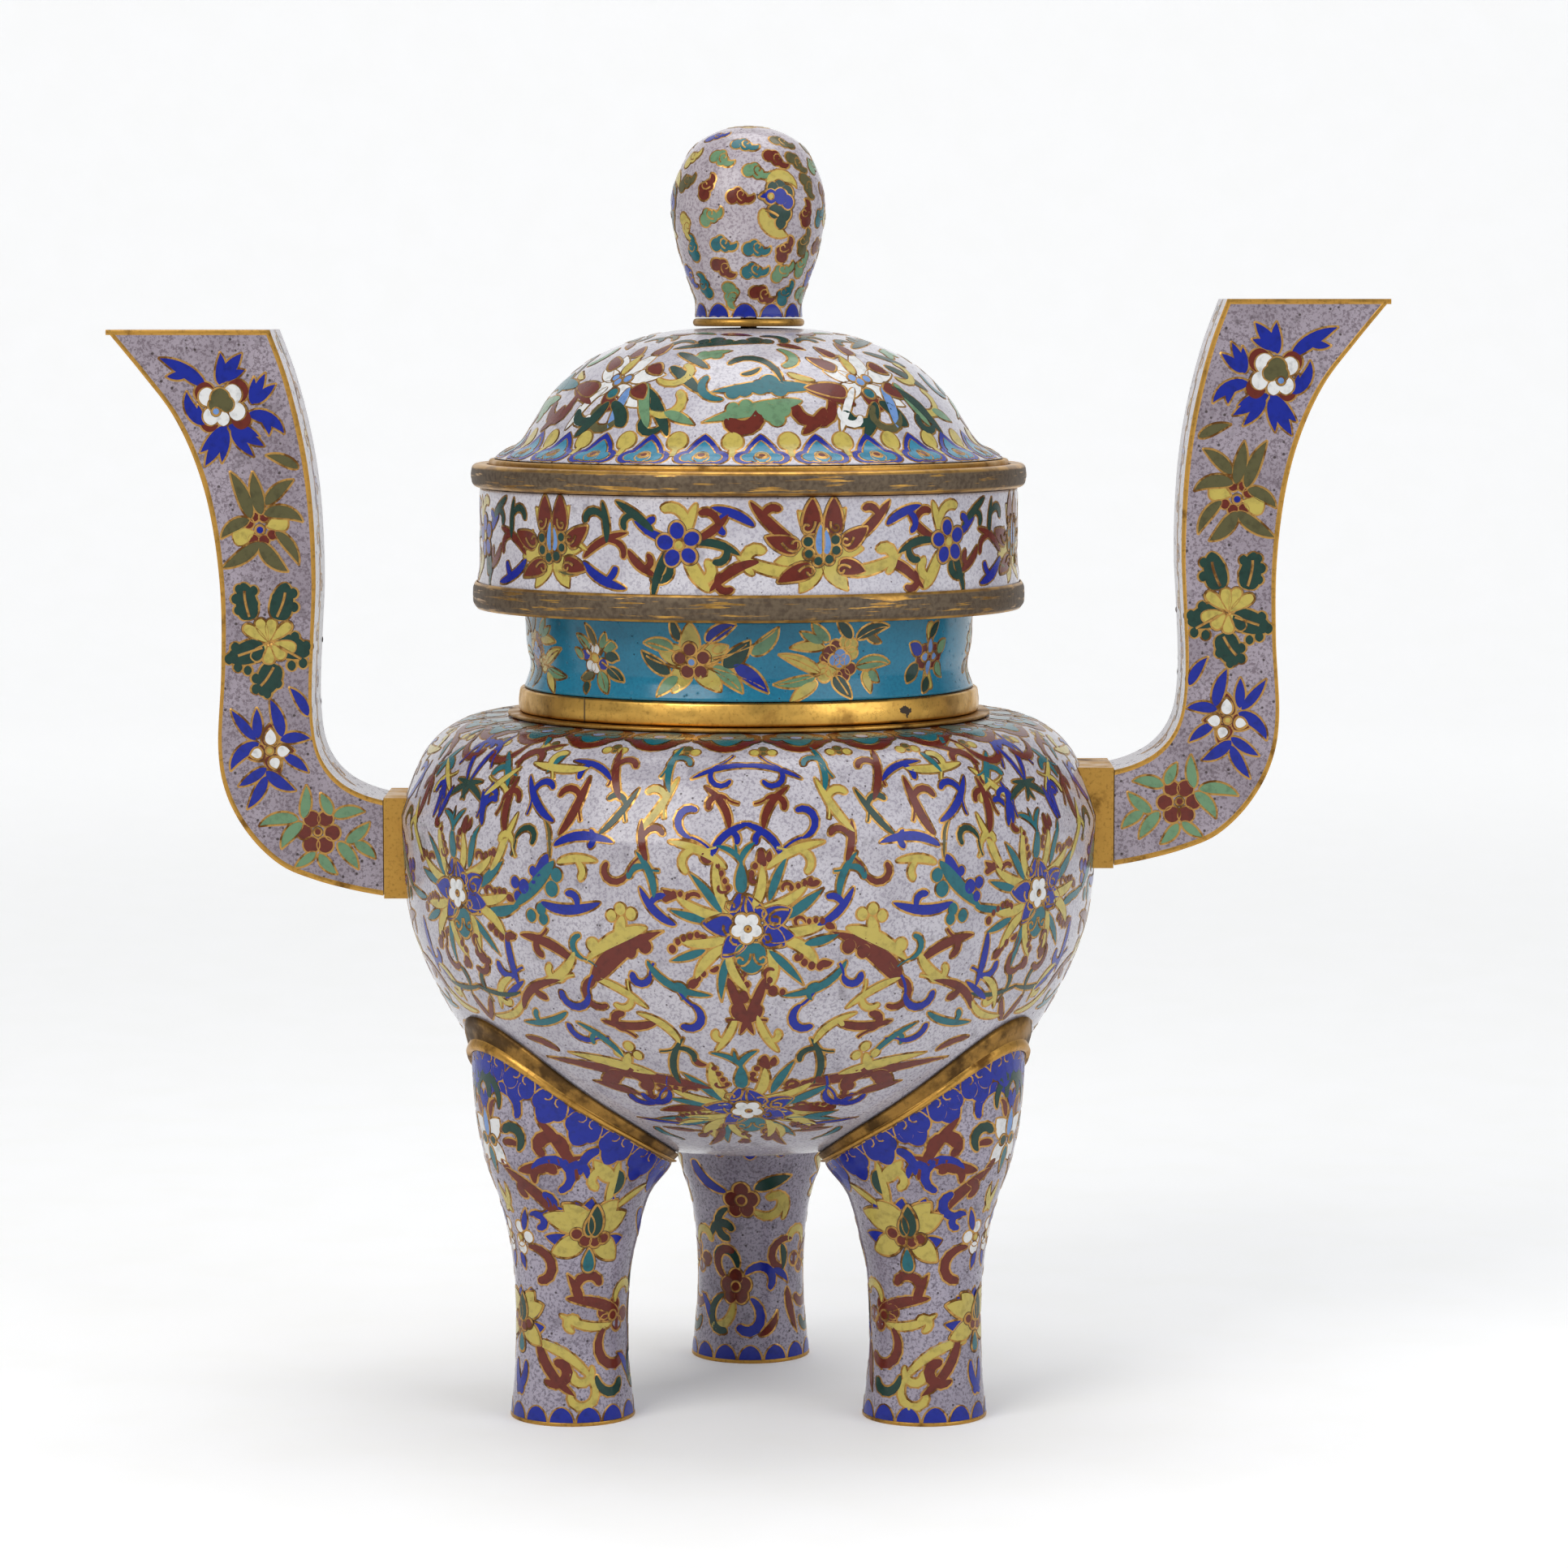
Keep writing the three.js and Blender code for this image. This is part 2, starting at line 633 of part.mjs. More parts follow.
function addDish() {
  const floorEdge = dishRadius - slipGap;
  add('dish_floor', turnedRing([
    point(neckBore, dishFoot),
    point(floorEdge, dishFoot),
    point(floorEdge, dishFloorTop),
    point(neckBore, dishFloorTop),
  ], roundSides), wornGilt);
  const bandFace = [
    point(dishRadius, dishBandFoot),
    point(dishRadius + dishFootFlare, dishBandFoot + dishBandHeight * dishFlareShare),
    point(dishRadius, dishBandFoot + dishBandHeight * dishWaistShare),
    point(dishRadius, dishBandTop),
  ];
  const bandBack = [
    point(dishRadius - dishBandWall, dishBandTop),
    point(dishRadius - dishBandWall, dishBandFoot),
  ];
  add('dish_band', turnedRing([...bandFace, ...bandBack], roundSides), whiteEnamel);
  const ringBore = dishRadius + dishFootFlare + seatGap;
  const ringFace = ringBore + lowerRingWall;
  const ringTop = dishFoot + lowerRingHeight;
  add('dish_lower_ring', turnedRing([
    point(ringBore, dishFoot),
    point(ringFace - lowerRingBulge, dishFoot),
    point(ringFace, (dishFoot + ringTop) / 2),
    point(ringFace - lowerRingBulge, ringTop),
    point(ringBore, ringTop),
  ], roundSides), wornGilt);
  const rimFace = dishRadius + upperRingProud;
  add('dish_upper_ring', turnedRing([
    point(upperRingBore, upperRingFoot),
    point(rimFace - upperRingBulge, upperRingFoot),
    point(rimFace + upperRingBulge, (upperRingFoot + upperRingTop) / 2),
    point(rimFace - upperRingBulge, upperRingTop),
    point(rebateRadius, upperRingTop),
    point(rebateRadius, rebateFloor),
    point(upperRingBore, rebateFloor),
  ], roundSides), wornGilt);
}

// Cover
const coverFoot = rebateFloor + seatGap;
const coverRimTop = coverFoot + coverRimThickness;
const coverRimRadius = rebateRadius - slipGap;
const domeFoot = coverRimTop + seatGap;
const domeRadius = coverRimRadius - domeInset;
const domeTop = domeFoot + domeHeight;
const budRingFoot = domeTop + seatGap;
const budRingTop = budRingFoot + budRingHeight;
const budFoot = budRingTop + seatGap;

function addCover() {
  const skirt = upperRingBore - slipGap;
  const rimBore = coverRimRadius - coverRimInset;
  add('cover_rim', turnedRing([
    point(skirt - coverSkirtWall, coverFoot - coverSkirtDepth),
    point(skirt, coverFoot - coverSkirtDepth),
    point(skirt, coverFoot),
    point(coverRimRadius, coverFoot),
    point(coverRimRadius, coverRimTop),
    point(rimBore, coverRimTop),
    point(rimBore, coverFoot),
    point(skirt - coverSkirtWall, coverFoot),
  ], roundSides), gilt);
  const outline = (radius, height, rows) => smooth(
    domeShares.map(([out, up]) => point(radius * out, domeFoot + height * up)),
    rows,
  );
  const outside = outline(domeRadius, domeHeight, domeRows);
  const inside = outline(domeRadius - domeEdgeLand, domeHeight - domeWall, domeInsideRows).reverse();
  const hole = pin(studRadius + holeClearance, domeTop - domeHeight / 2, domeTop + overrun);
  add('cover_dome', cut(turned([...inside, ...outside], roundSides), [hole]), whiteEnamel);
}

function addFinial() {
  const outline = (rows) => smooth(
    budShares.map(([out, up]) => point(budRadius * out, budFoot + budHeight * up)),
    rows,
  );
  const outside = outline(budRows);
  const inside = inset(outline(budInsideRows).reverse(), budWall);
  inside[0].x = 0;
  inside[inside.length - 1].y = budFoot;
  add('finial_bud', turned([...inside, ...outside], budSides), whiteEnamel);
  const ringRadius = outside[0].x + budRingProud;
  const ringBore = studRadius + holeClearance;
  add('finial_ring', turnedRing([
    point(ringBore, budRingFoot),
    point(ringRadius, budRingFoot),
    point(ringRadius, budRingTop),
    point(ringBore, budRingTop),
  ], budSides), gilt);
  const nutSeat = domeTop - domeWall - seatGap;
  const headSeat = budRingTop + seatGap;
  const bolt = stud(0, headSeat - nutSeat + nutStack + studThreadRun);
  add('finial_stud', bolt.rotateX(Math.PI).translate(0, 0, headSeat), brass);
  add('finial_nut', nut(0).rotateX(Math.PI).translate(0, 0, nutSeat), brass);
}

addBody();
addMouthRing();
Object.entries(legTurnShares).forEach(([name, turnShare]) => addLeg(name, turnShare));
Object.entries(handles).forEach(([side, place]) => addHandle(side, place));
addNeck();
addDish();
addCover();
addFinial();

export default burner;
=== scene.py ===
import math
import bmesh
import bpy
import numpy as np
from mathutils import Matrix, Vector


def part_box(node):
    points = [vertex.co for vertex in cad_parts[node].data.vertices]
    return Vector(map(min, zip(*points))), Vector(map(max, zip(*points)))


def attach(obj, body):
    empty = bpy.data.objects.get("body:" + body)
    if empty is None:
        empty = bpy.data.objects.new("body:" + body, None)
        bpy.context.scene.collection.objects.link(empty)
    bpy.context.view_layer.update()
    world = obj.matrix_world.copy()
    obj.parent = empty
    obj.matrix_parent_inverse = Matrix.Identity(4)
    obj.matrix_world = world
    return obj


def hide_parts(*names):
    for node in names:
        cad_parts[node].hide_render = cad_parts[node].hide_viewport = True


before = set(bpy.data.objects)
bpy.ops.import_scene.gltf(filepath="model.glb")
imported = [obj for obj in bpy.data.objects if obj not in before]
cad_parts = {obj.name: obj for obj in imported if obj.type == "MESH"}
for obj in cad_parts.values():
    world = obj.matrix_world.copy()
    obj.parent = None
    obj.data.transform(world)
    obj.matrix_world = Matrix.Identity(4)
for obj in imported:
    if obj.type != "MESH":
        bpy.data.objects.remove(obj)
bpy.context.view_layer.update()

# Tripod incense burner in cloisonne enamel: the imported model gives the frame, and every piece here is a
# surface worked out on a grid. Lengths are written in millimetres and drawn in metres.
mm = 0.001
scene = bpy.context.scene

# Camera
cameraView = {"distance": 1600, "height": 342.4, "side": 10.9, "pitch": 5.373, "lens": 118.75}
cameraData = bpy.data.cameras.new("camera")
cameraData.lens = cameraView["lens"]
camera = bpy.data.objects.new("camera", cameraData)
camera.location = (cameraView["side"] * mm, -cameraView["distance"] * mm, cameraView["height"] * mm)
camera.rotation_euler = (math.radians(90 - cameraView["pitch"]), 0, 0)
scene.collection.objects.link(camera)
scene.camera = camera
print("camera ready")


# Shape helpers

# Catmull-Rom curve: in each span a cubic whose end slopes are half the way between the neighbours
def smooth(points, count):
    points = np.asarray(points, float)
    last = len(points) - 1
    place = np.linspace(0, last, count)
    span = np.minimum(place.astype(int), last - 1)
    t = (place - span)[:, None]
    before, here = points[np.maximum(span - 1, 0)], points[span]
    there, after = points[span + 1], points[np.minimum(span + 2, last)]
    slopeHere, slopeThere = (there - before) / 2, (after - here) / 2
    return ((2 * here - 2 * there + slopeHere + slopeThere) * t**3
            + (3 * there - 3 * here - 2 * slopeHere - slopeThere) * t**2 + slopeHere * t + here)


# Running length of a line: the sum of its steps up to each point
def runOf(line):
    return np.concatenate([[0], np.cumsum(np.hypot(*np.diff(line, axis=0).T))])


# The same line with its points evenly spaced by running length
def evenly(line, count):
    run = runOf(line)
    even = np.linspace(0, run[-1], count)
    return np.stack([np.interp(even, run, line[:, axis]) for axis in (0, 1)], axis=1)


# The line moved to the left of its travel by a wall: each point plus the wall times the unit normal
def inset(line, wall):
    along = np.gradient(line, axis=0)
    along /= np.hypot(*along.T)[:, None]
    moved = line + wall * np.stack([-along[:, 1], along[:, 0]], axis=1)
    moved[:, 0] = np.maximum(moved[:, 0], 0)
    return moved


# Rounded polygon: each corner becomes a quadratic curve between points set back along its two sides
def rounded(corners, reach, steps=5):
    corners = np.asarray(corners, float)
    before, after = np.roll(corners, 1, axis=0) - corners, np.roll(corners, -1, axis=0) - corners
    lengths = [np.hypot(*side.T)[:, None] for side in (before, after)]
    starts, ends = [corners + side / length * np.minimum(reach, length * 0.45)
                    for side, length in zip((before, after), lengths)]
    t = np.linspace(0, 1, steps)[None, :, None]
    curve = starts[:, None] * (1 - t)**2 + 2 * corners[:, None] * t * (1 - t) + ends[:, None] * t**2
    return curve.reshape(-1, 2)


# Faces of a grid: each joins four neighbours, and a wrapped side joins its last line to its first
def gridFaces(rows, columns, wrapRows=False, wrapColumns=False):
    row = np.arange(rows if wrapRows else rows - 1)[:, None]
    column = np.arange(columns if wrapColumns else columns - 1)[None, :]
    nextRow, nextColumn = (row + 1) % rows, (column + 1) % columns
    corners = [row * columns + column, row * columns + nextColumn,
               nextRow * columns + nextColumn, nextRow * columns + column]
    return np.stack(np.broadcast_arrays(*corners), axis=-1).reshape(-1, 4)


# Makes the mesh and rides it on its body
def addPiece(name, points, faces, body, materials, faceSlots=None, replaces=(), merge=True):
    mesh = bpy.data.meshes.new(name)
    mesh.from_pydata((np.asarray(points).reshape(-1, 3) * mm).tolist(), [], faces.tolist())
    for material in materials:
        mesh.materials.append(material)
    if faceSlots is not None:
        mesh.polygons.foreach_set("material_index", np.asarray(faceSlots, dtype=np.int32))
    if merge:
        work = bmesh.new()
        work.from_mesh(mesh)
        bmesh.ops.remove_doubles(work, verts=work.verts, dist=0.004 * mm)
        work.to_mesh(mesh)
        work.free()
    mesh.polygons.foreach_set("use_smooth", np.ones(len(mesh.polygons), dtype=bool))
    mesh.update()
    piece = bpy.data.objects.new(name, mesh)
    scene.collection.objects.link(piece)
    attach(piece, body)
    if replaces:
        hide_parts(*replaces)
    return piece


# Turned shape: a profile of radius and height carried round the upright axis, outer side upwards.
# It ends on the axis, or closes on itself where wrap is set
def turned(profile, sides, wrap):
    turn = np.linspace(0, 2 * math.pi, sides, endpoint=False)[None, :]
    radius, height = profile[:, :1], profile[:, 1:]
    points = np.stack([radius * np.cos(turn), radius * np.sin(turn), height + 0 * turn], axis=-1)
    return points, gridFaces(len(profile), sides, wrapRows=wrap, wrapColumns=True)


def addTurned(name, profile, body, materials, sides=256, wrap=True, innerFrom=None, replaces=()):
    points, faces = turned(profile, sides, wrap)
    faceSlots = None
    if innerFrom is not None:
        faceSlots = np.repeat(np.arange(len(faces) // sides) >= innerFrom, sides)
    return addPiece(name, points, faces, body, materials, faceSlots, replaces)


# Materials

def colour(red, green, blue):
    # Screen colour from 0 to 255 turned into linear light: the 2.4 power law of screens
    levels = (red, green, blue)
    return tuple(((c / 255 + 0.055) / 1.055)**2.4 if c > 10 else c / 255 / 12.92 for c in levels) + (1,)


# Adds nodes to one material and links them
class Nodes:

    def __init__(self, name):
        self.material = bpy.data.materials.new(name)
        self.material.use_nodes = True
        self.tree = self.material.node_tree
        self.shader = self.tree.nodes["Principled BSDF"]
        self.coordinates = self.tree.nodes.new("ShaderNodeTexCoord").outputs["Object"]

    def add(self, kind, inputs=None, **settings):
        node = self.tree.nodes.new("ShaderNode" + kind)
        for key, value in settings.items():
            setattr(node, key, value)
        for key, value in (inputs or {}).items():
            if hasattr(value, "node"):
                self.tree.links.new(value, node.inputs[key])
            else:
                node.inputs[key].default_value = value
        return node

    def set(self, **values):
        for key, value in values.items():
            socket = self.shader.inputs[key.replace("_", " ")]
            if hasattr(value, "node"):
                self.tree.links.new(value, socket)
            else:
                socket.default_value = value

    def noise(self, scale, detail=2.0, roughness=0.5):
        return self.add("TexNoise", {"Vector": self.coordinates, "Scale": scale, "Detail": detail,
                                     "Roughness": roughness}).outputs["Fac"]

    def ramp(self, value, low, high, start=0.0, end=1.0):
        return self.add("MapRange", {"Value": value, "From Min": low, "From Max": high, "To Min": start,
                                     "To Max": end}, interpolation_type="SMOOTHSTEP").outputs["Result"]

    def mix(self, factor, first, second):
        node = self.add("Mix", data_type="RGBA")
        for socket, value in zip((node.inputs[0], node.inputs[6], node.inputs[7]), (factor, first, second)):
            if hasattr(value, "node"):
                self.tree.links.new(value, socket)
            else:
                socket.default_value = value
        return node.outputs[2]

    def bump(self, height, strength, distance):
        node = self.add("Bump", {"Height": height, "Strength": strength, "Distance": distance})
        return node.outputs["Normal"]


# Speckled enamel ground: fine grains of a darker tone, slow drifts of tone, and sparse dark pits
def groundEnamel(name, base, grain, pit, grainShare=0.5, pitSize=0.16, sheen=0.18):
    base, grain, pit = colour(*base), colour(*grain), colour(*pit)
    m = Nodes(name)
    fine = m.ramp(m.noise(1150, 3.0, 0.65), 0.46, 0.62, 0, grainShare)
    drift = m.ramp(m.noise(42, 3.0), 0.35, 0.7, 0, 0.32)
    cells = m.add("TexVoronoi", {"Vector": m.coordinates, "Scale": 330.0, "Randomness": 1.0})
    pits = cells.outputs["Distance"]
    pitMask = m.ramp(pits, pitSize, pitSize * 0.5, 0, 0.85)
    blotch = m.ramp(m.noise(170, 2.0), 0.6, 0.75, 0, 0.3)
    toned = m.mix(drift, base, grain)
    grained = m.mix(fine, toned, grain)
    stained = m.mix(blotch, grained, pit)
    m.set(Base_Color=m.mix(pitMask, stained, pit), Roughness=m.ramp(pits, 0.0, 0.3, 0.6, sheen),
          Normal=m.bump(m.ramp(pits, pitSize * 0.4, pitSize * 1.2), 0.35, 0.0002))
    m.set(Coat_Weight=0.08, Coat_Roughness=0.12, Specular_IOR_Level=0.3)
    return m.material


# Plain-coloured enamel in the cells: one tone with a little cloudiness and a few dark pits
def cellEnamel(name, base):
    m = Nodes(name)
    dark = tuple(c * 0.45 for c in base[:3]) + (1,)
    cloud = m.ramp(m.noise(420, 3.0, 0.6), 0.45, 0.75, 0, 0.55)
    m.set(Base_Color=m.mix(cloud, base, dark), Roughness=0.22, Specular_IOR_Level=0.3, Coat_Weight=0.08,
          Normal=m.bump(m.noise(700, 2.0), 0.12, 0.0002))
    return m.material


# Gilt metal: bright gold that goes brown where the noise says that it is rubbed or stained. On a strip that
# has its crest marked, the sides go dark brown: partly the wires' own dark edges, partly painted shade where
# the wire meets the enamel
def giltMetal(name, bright, brown, wear, patch=60.0, roughness=0.3, paintedSideShade=False):
    bright, brown = colour(*bright), colour(*brown)
    m = Nodes(name)
    patches = m.ramp(m.noise(patch, 5.0, 0.62), 0.62 - wear * 0.4, 0.72 - wear * 0.25)
    grime = m.ramp(m.noise(900, 3.0, 0.6), 0.5, 0.75, 0, 0.5)
    tone = m.mix(patches, bright, brown)
    if paintedSideShade:
        crest = m.add("Attribute", attribute_name="crest").outputs["Fac"]
        # Painted shade: the wire's sides, away from its crest, go dark brown, and below them the metal is
        # less metallic
        sides = m.ramp(crest, 0.24, 0.42, 0.92, 0.0)
        tone = m.mix(sides, tone, colour(52, 34, 20))
    m.set(Base_Color=m.mix(grime, tone, brown),
          Metallic=m.ramp(crest, 0.15, 0.5, 0.2, 1.0) if paintedSideShade else 1.0,
          Roughness=m.ramp(m.noise(patch * 2, 3.0), 0.3, 0.75, roughness, roughness + 0.3),
          Normal=m.bump(m.noise(600, 4.0, 0.6), 0.15, 0.0003))
    return m.material


# Worn gilt ring between two heights: brown on its side with streaks of gold along it, and bright at both
# edges
def wornRingGilt(name, low, high, edge=1.2):
    m = Nodes(name)
    level = m.add("SeparateXYZ", {"Vector": m.coordinates}).outputs["Z"]
    stretch = m.add("VectorMath", {0: m.coordinates, 1: (60.0, 60.0, 900.0)}, operation="MULTIPLY").outputs[0]
    grain = m.add("TexNoise", {"Vector": stretch, "Scale": 1.0, "Detail": 4.0, "Roughness": 0.6})
    streaks = grain.outputs["Fac"]
    under = m.ramp(level, (low + 0.3 * edge) * mm, (low + edge) * mm, 0.0, 1.0)
    over = m.ramp(level, (high - edge) * mm, (high - 0.4 * edge) * mm, 1.0, 0.0)
    side = m.add("Math", {0: under, 1: over}, operation="MULTIPLY").outputs[0]
    worn = m.add("Math", {0: m.ramp(streaks, 0.64, 0.55), 1: side}, operation="MULTIPLY").outputs[0]
    patches = m.ramp(m.noise(130, 4.0, 0.6), 0.42, 0.62, 0.0, 0.75)
    gold = m.mix(patches, colour(192, 147, 73), colour(130, 95, 50))
    brown = m.mix(m.ramp(m.noise(700, 3.0), 0.35, 0.7), colour(97, 82, 63), colour(73, 58, 43))
    m.set(Base_Color=m.mix(worn, gold, brown), Metallic=m.ramp(worn, 0.0, 1.0, 1.0, 0.35),
          Roughness=m.ramp(worn, 0.0, 1.0, 0.34, 0.58), Normal=m.bump(m.noise(500, 4.0, 0.6), 0.2, 0.0003))
    return m.material


# Neck gilt: bright, with an upright seam and one brown stain, where the distance from its middle is under 2
# mm
def seamedGilt(name, bright, brown, seam, stain):
    bright, brown = colour(*bright), colour(*brown)
    m = Nodes(name)
    axes = m.add("SeparateXYZ", {"Vector": m.coordinates}).outputs
    away = m.add("Math", {0: axes["X"], 1: seam * mm}, operation="SUBTRACT").outputs[0]
    width = m.add("Math", {0: away}, operation="ABSOLUTE").outputs[0]
    front = m.ramp(axes["Y"], -0.01, 0.0, 1.0, 0.0)
    narrow = m.ramp(width, 0.00012, 0.00035, 0.9, 0.0)
    line = m.add("Math", {0: narrow, 1: front}, operation="MULTIPLY").outputs[0]
    reach = m.add("VectorMath", {0: m.coordinates, 1: tuple(c * mm for c in stain)}, operation="DISTANCE")
    wobble = m.ramp(m.noise(400, 3.0), 0.3, 0.7, 0.0006, 0.003)
    spot = m.add("Math", {0: reach.outputs["Value"], 1: wobble}, operation="LESS_THAN").outputs[0]
    patches = m.ramp(m.noise(70, 5.0, 0.62), 0.52, 0.72, 0.0, 0.6)
    grime = m.ramp(m.noise(900, 3.0, 0.6), 0.5, 0.75, 0, 0.45)
    tone = m.mix(grime, m.mix(patches, bright, brown), brown)
    dark = m.add("Math", {0: line, 1: spot}, operation="MAXIMUM").outputs[0]
    m.set(Base_Color=m.mix(dark, tone, colour(58, 43, 30)), Metallic=m.ramp(dark, 0.0, 1.0, 1.0, 0.3),
          Roughness=m.ramp(m.noise(140, 3.0), 0.3, 0.75, 0.26, 0.5),
          Normal=m.bump(m.noise(600, 4.0, 0.6), 0.15, 0.0003))
    return m.material


bodyEnamel = groundEnamel("bodyEnamel", (188, 184, 191), (109, 101, 116), (53, 42, 42), 0.52, 0.14)
whiteEnamel = groundEnamel("whiteEnamel", (199, 196, 202), (127, 120, 138), (70, 59, 63), 0.45, 0.11)
legEnamel = groundEnamel("legEnamel", (160, 153, 167), (74, 63, 77), (39, 26, 28), 0.62, 0.17)
handleEnamel = groundEnamel("handleEnamel", (158, 148, 158), (81, 66, 74), (42, 29, 26), 0.62, 0.2)
finialEnamel = groundEnamel("finialEnamel", (190, 182, 188), (114, 98, 109), (55, 39, 39), 0.6, 0.15)
turquoiseEnamel = groundEnamel("turquoiseEnamel", (31, 121, 151), (18, 88, 116), (17, 40, 48),
                               0.35, 0.11)
giltRing = giltMetal("giltRing", (184, 140, 68), (99, 68, 33), 0.16)
wornGilt = giltMetal("wornGilt", (175, 131, 61), (90, 70, 46), 0.62, 90.0, 0.42)
# The wires carry painted shade: dark brown along both sides of each wire
giltWire = giltMetal("giltWire", (182, 140, 77), (107, 72, 37), 0.35, 220.0, 0.3, paintedSideShade=True)
collarGilt = giltMetal("collarGilt", (149, 112, 57), (85, 63, 37), 0.5, 70.0, 0.4)
brassPlain = giltMetal("brassPlain", (162, 129, 70), (101, 77, 42), 0.3, 80.0, 0.42)
copperInside = giltMetal("copperInside", (138, 98, 61), (77, 55, 40), 0.4, 50.0, 0.5)
enamelColours = {
    "cobalt": (18, 35, 138), "ironRed": (98, 35, 23), "yellow": (182, 164, 81),
    "darkGreen": (26, 57, 48), "teal": (26, 96, 105), "paleGreen": (101, 136, 101),
    "lightBlue": (103, 138, 190), "white": (213, 213, 212), "turquoise": (42, 121, 149),
    "olive": (85, 81, 50),
}
cellMaterials = {name: cellEnamel(name + "Enamel", colour(*tone)) for name, tone in enamelColours.items()}
print("materials ready")


# Body
bodyForm = {
    "radius": 107.7, "clearance": 77.5, "height": 136.3, "mouth": 73.5, "wall": 2.4,
    "shoulderShares": [(0, 1), (0.436, 0.987), (0.766, 0.923), (0.98, 0.8)],
    "bellyShares": [(1, 0.737), (0.9675, 0.515), (0.829, 0.2905), (0.65, 0.143), (0.371, 0.033), (0, 0)],
}


def bodyOutline(form):
    shoulder = [(form["mouth"] + (form["radius"] - form["mouth"]) * out,
                 form["clearance"] + form["height"] * up)
                for out, up in form["shoulderShares"]]
    belly = [(form["radius"] * out, form["clearance"] + form["height"] * up)
             for out, up in form["bellyShares"]]
    return evenly(smooth(shoulder + belly, 900)[::-1], 150)


bodyLine = bodyOutline(bodyForm)
bodyInside = inset(bodyLine, bodyForm["wall"])[::-1]
bodyInside[0, 0] = bodyForm["mouth"]
bodyLine[0, 0] = bodyInside[-1, 0] = 0
addTurned("bodyGround", np.concatenate([bodyLine, bodyInside]), "vessel",
          [bodyEnamel, copperInside], wrap=False, innerFrom=len(bodyLine) - 1, replaces=["body_shell"])


# Rings: outlines that close on themselves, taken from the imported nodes' boxes
def boxOf(node):
    low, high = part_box(node)
    return low.z / mm, high.z / mm, high.x / mm


ringForm = {"mouthBore": 67.5, "mouthSleeve": 73.2, "lip": 1.1, "sleeveBore": 65.6, "sleeve": 66.9}
low, high, radius = boxOf("body_mouth_ring")
addTurned("mouthRing", rounded([
    (ringForm["mouthBore"], low), (ringForm["mouthSleeve"], low),
    (ringForm["mouthSleeve"], high - ringForm["lip"]),
    (radius, high - ringForm["lip"]), (radius, high), (ringForm["mouthBore"], high)], 0.4),
    "vessel", [giltRing], replaces=["body_mouth_ring"])

low, high, radius = boxOf("neck_ring")
neckFoot = low + 9.5
neckGilt = seamedGilt("neckGilt", (214, 168, 84), (128, 88, 42), -49.0,
                      (47.4, -math.sqrt(radius**2 - 47.4**2), (neckFoot + high) / 2))
addTurned("neckRing", rounded([
    (ringForm["sleeveBore"], low), (ringForm["sleeve"], low), (ringForm["sleeve"], neckFoot),
    (radius, neckFoot),
    (radius + 0.1, (neckFoot + high) / 2), (radius - 0.4, high), (ringForm["sleeveBore"], high)], 0.9),
    "neck_section", [neckGilt], replaces=["neck_ring"])

low, high, radius = boxOf("neck_band")
neckLine = evenly(smooth([(69.5, low), (67.6, low + 0.26 * (high - low)), (68.74, low + 0.56 * (high - low)),
                          (69.3, high)], 200), 24)
addTurned("neckGround",
          np.concatenate([neckLine, [(ringForm["sleeveBore"], high), (ringForm["sleeveBore"], low)]]),
          "neck_section", [turquoiseEnamel, copperInside], innerFrom=len(neckLine),
          replaces=["neck_band"])

low, high, radius = boxOf("dish_floor")
addTurned("dishFloor", rounded([(ringForm["sleeveBore"], low), (radius, low), (radius, high),
                                (ringForm["sleeveBore"], high)], 0.5),
          "neck_section", [wornGilt], replaces=["dish_floor"])

dishForm = {"radius": 83.0, "wall": 2.4, "flare": 0.7, "bore": 76.5, "rebate": 80.8, "rebateFloor": 290.4,
            "lowerBore": 84.0}
low, high, radius = boxOf("dish_band")
dishLine = evenly(smooth([(dishForm["radius"] + 0.2, low),
                          (dishForm["radius"] + dishForm["flare"], low + 6.6),
                          (dishForm["radius"], low + 11.5), (dishForm["radius"], low + 20),
                          (dishForm["radius"], high)], 300), 30)
dishBack = dishForm["radius"] - dishForm["wall"]
addTurned("dishGround", np.concatenate([dishLine, [(dishBack, high), (dishBack, low)]]),
          "neck_section", [whiteEnamel, copperInside], innerFrom=len(dishLine),
          replaces=["dish_band"])

low, high, radius = boxOf("dish_lower_ring")
addTurned("dishLowerRing", rounded([
    (dishForm["lowerBore"], low), (radius - 1.2, low), (radius, low + 1.6), (radius + 0.1, (low + high) / 2),
    (radius, high - 1.6), (radius - 0.8, high), (dishForm["lowerBore"], high)], 0.8),
    "neck_section", [wornRingGilt("lowerRingGilt", low, high, 1.0)],
    replaces=["dish_lower_ring"])

low, high, radius = boxOf("dish_upper_ring")
addTurned("dishUpperRing", rounded([
    (dishForm["bore"], low), (radius - 1.6, low), (radius - 0.5, low + 1), (radius, (low + high) / 2),
    (radius - 0.4, high - 0.8), (radius - 1.4, high), (dishForm["rebate"], high),
    (dishForm["rebate"], dishForm["rebateFloor"]), (dishForm["bore"], dishForm["rebateFloor"])], 0.7),
    "neck_section", [wornRingGilt("upperRingGilt", low, high, 1.4)],
    replaces=["dish_upper_ring"])

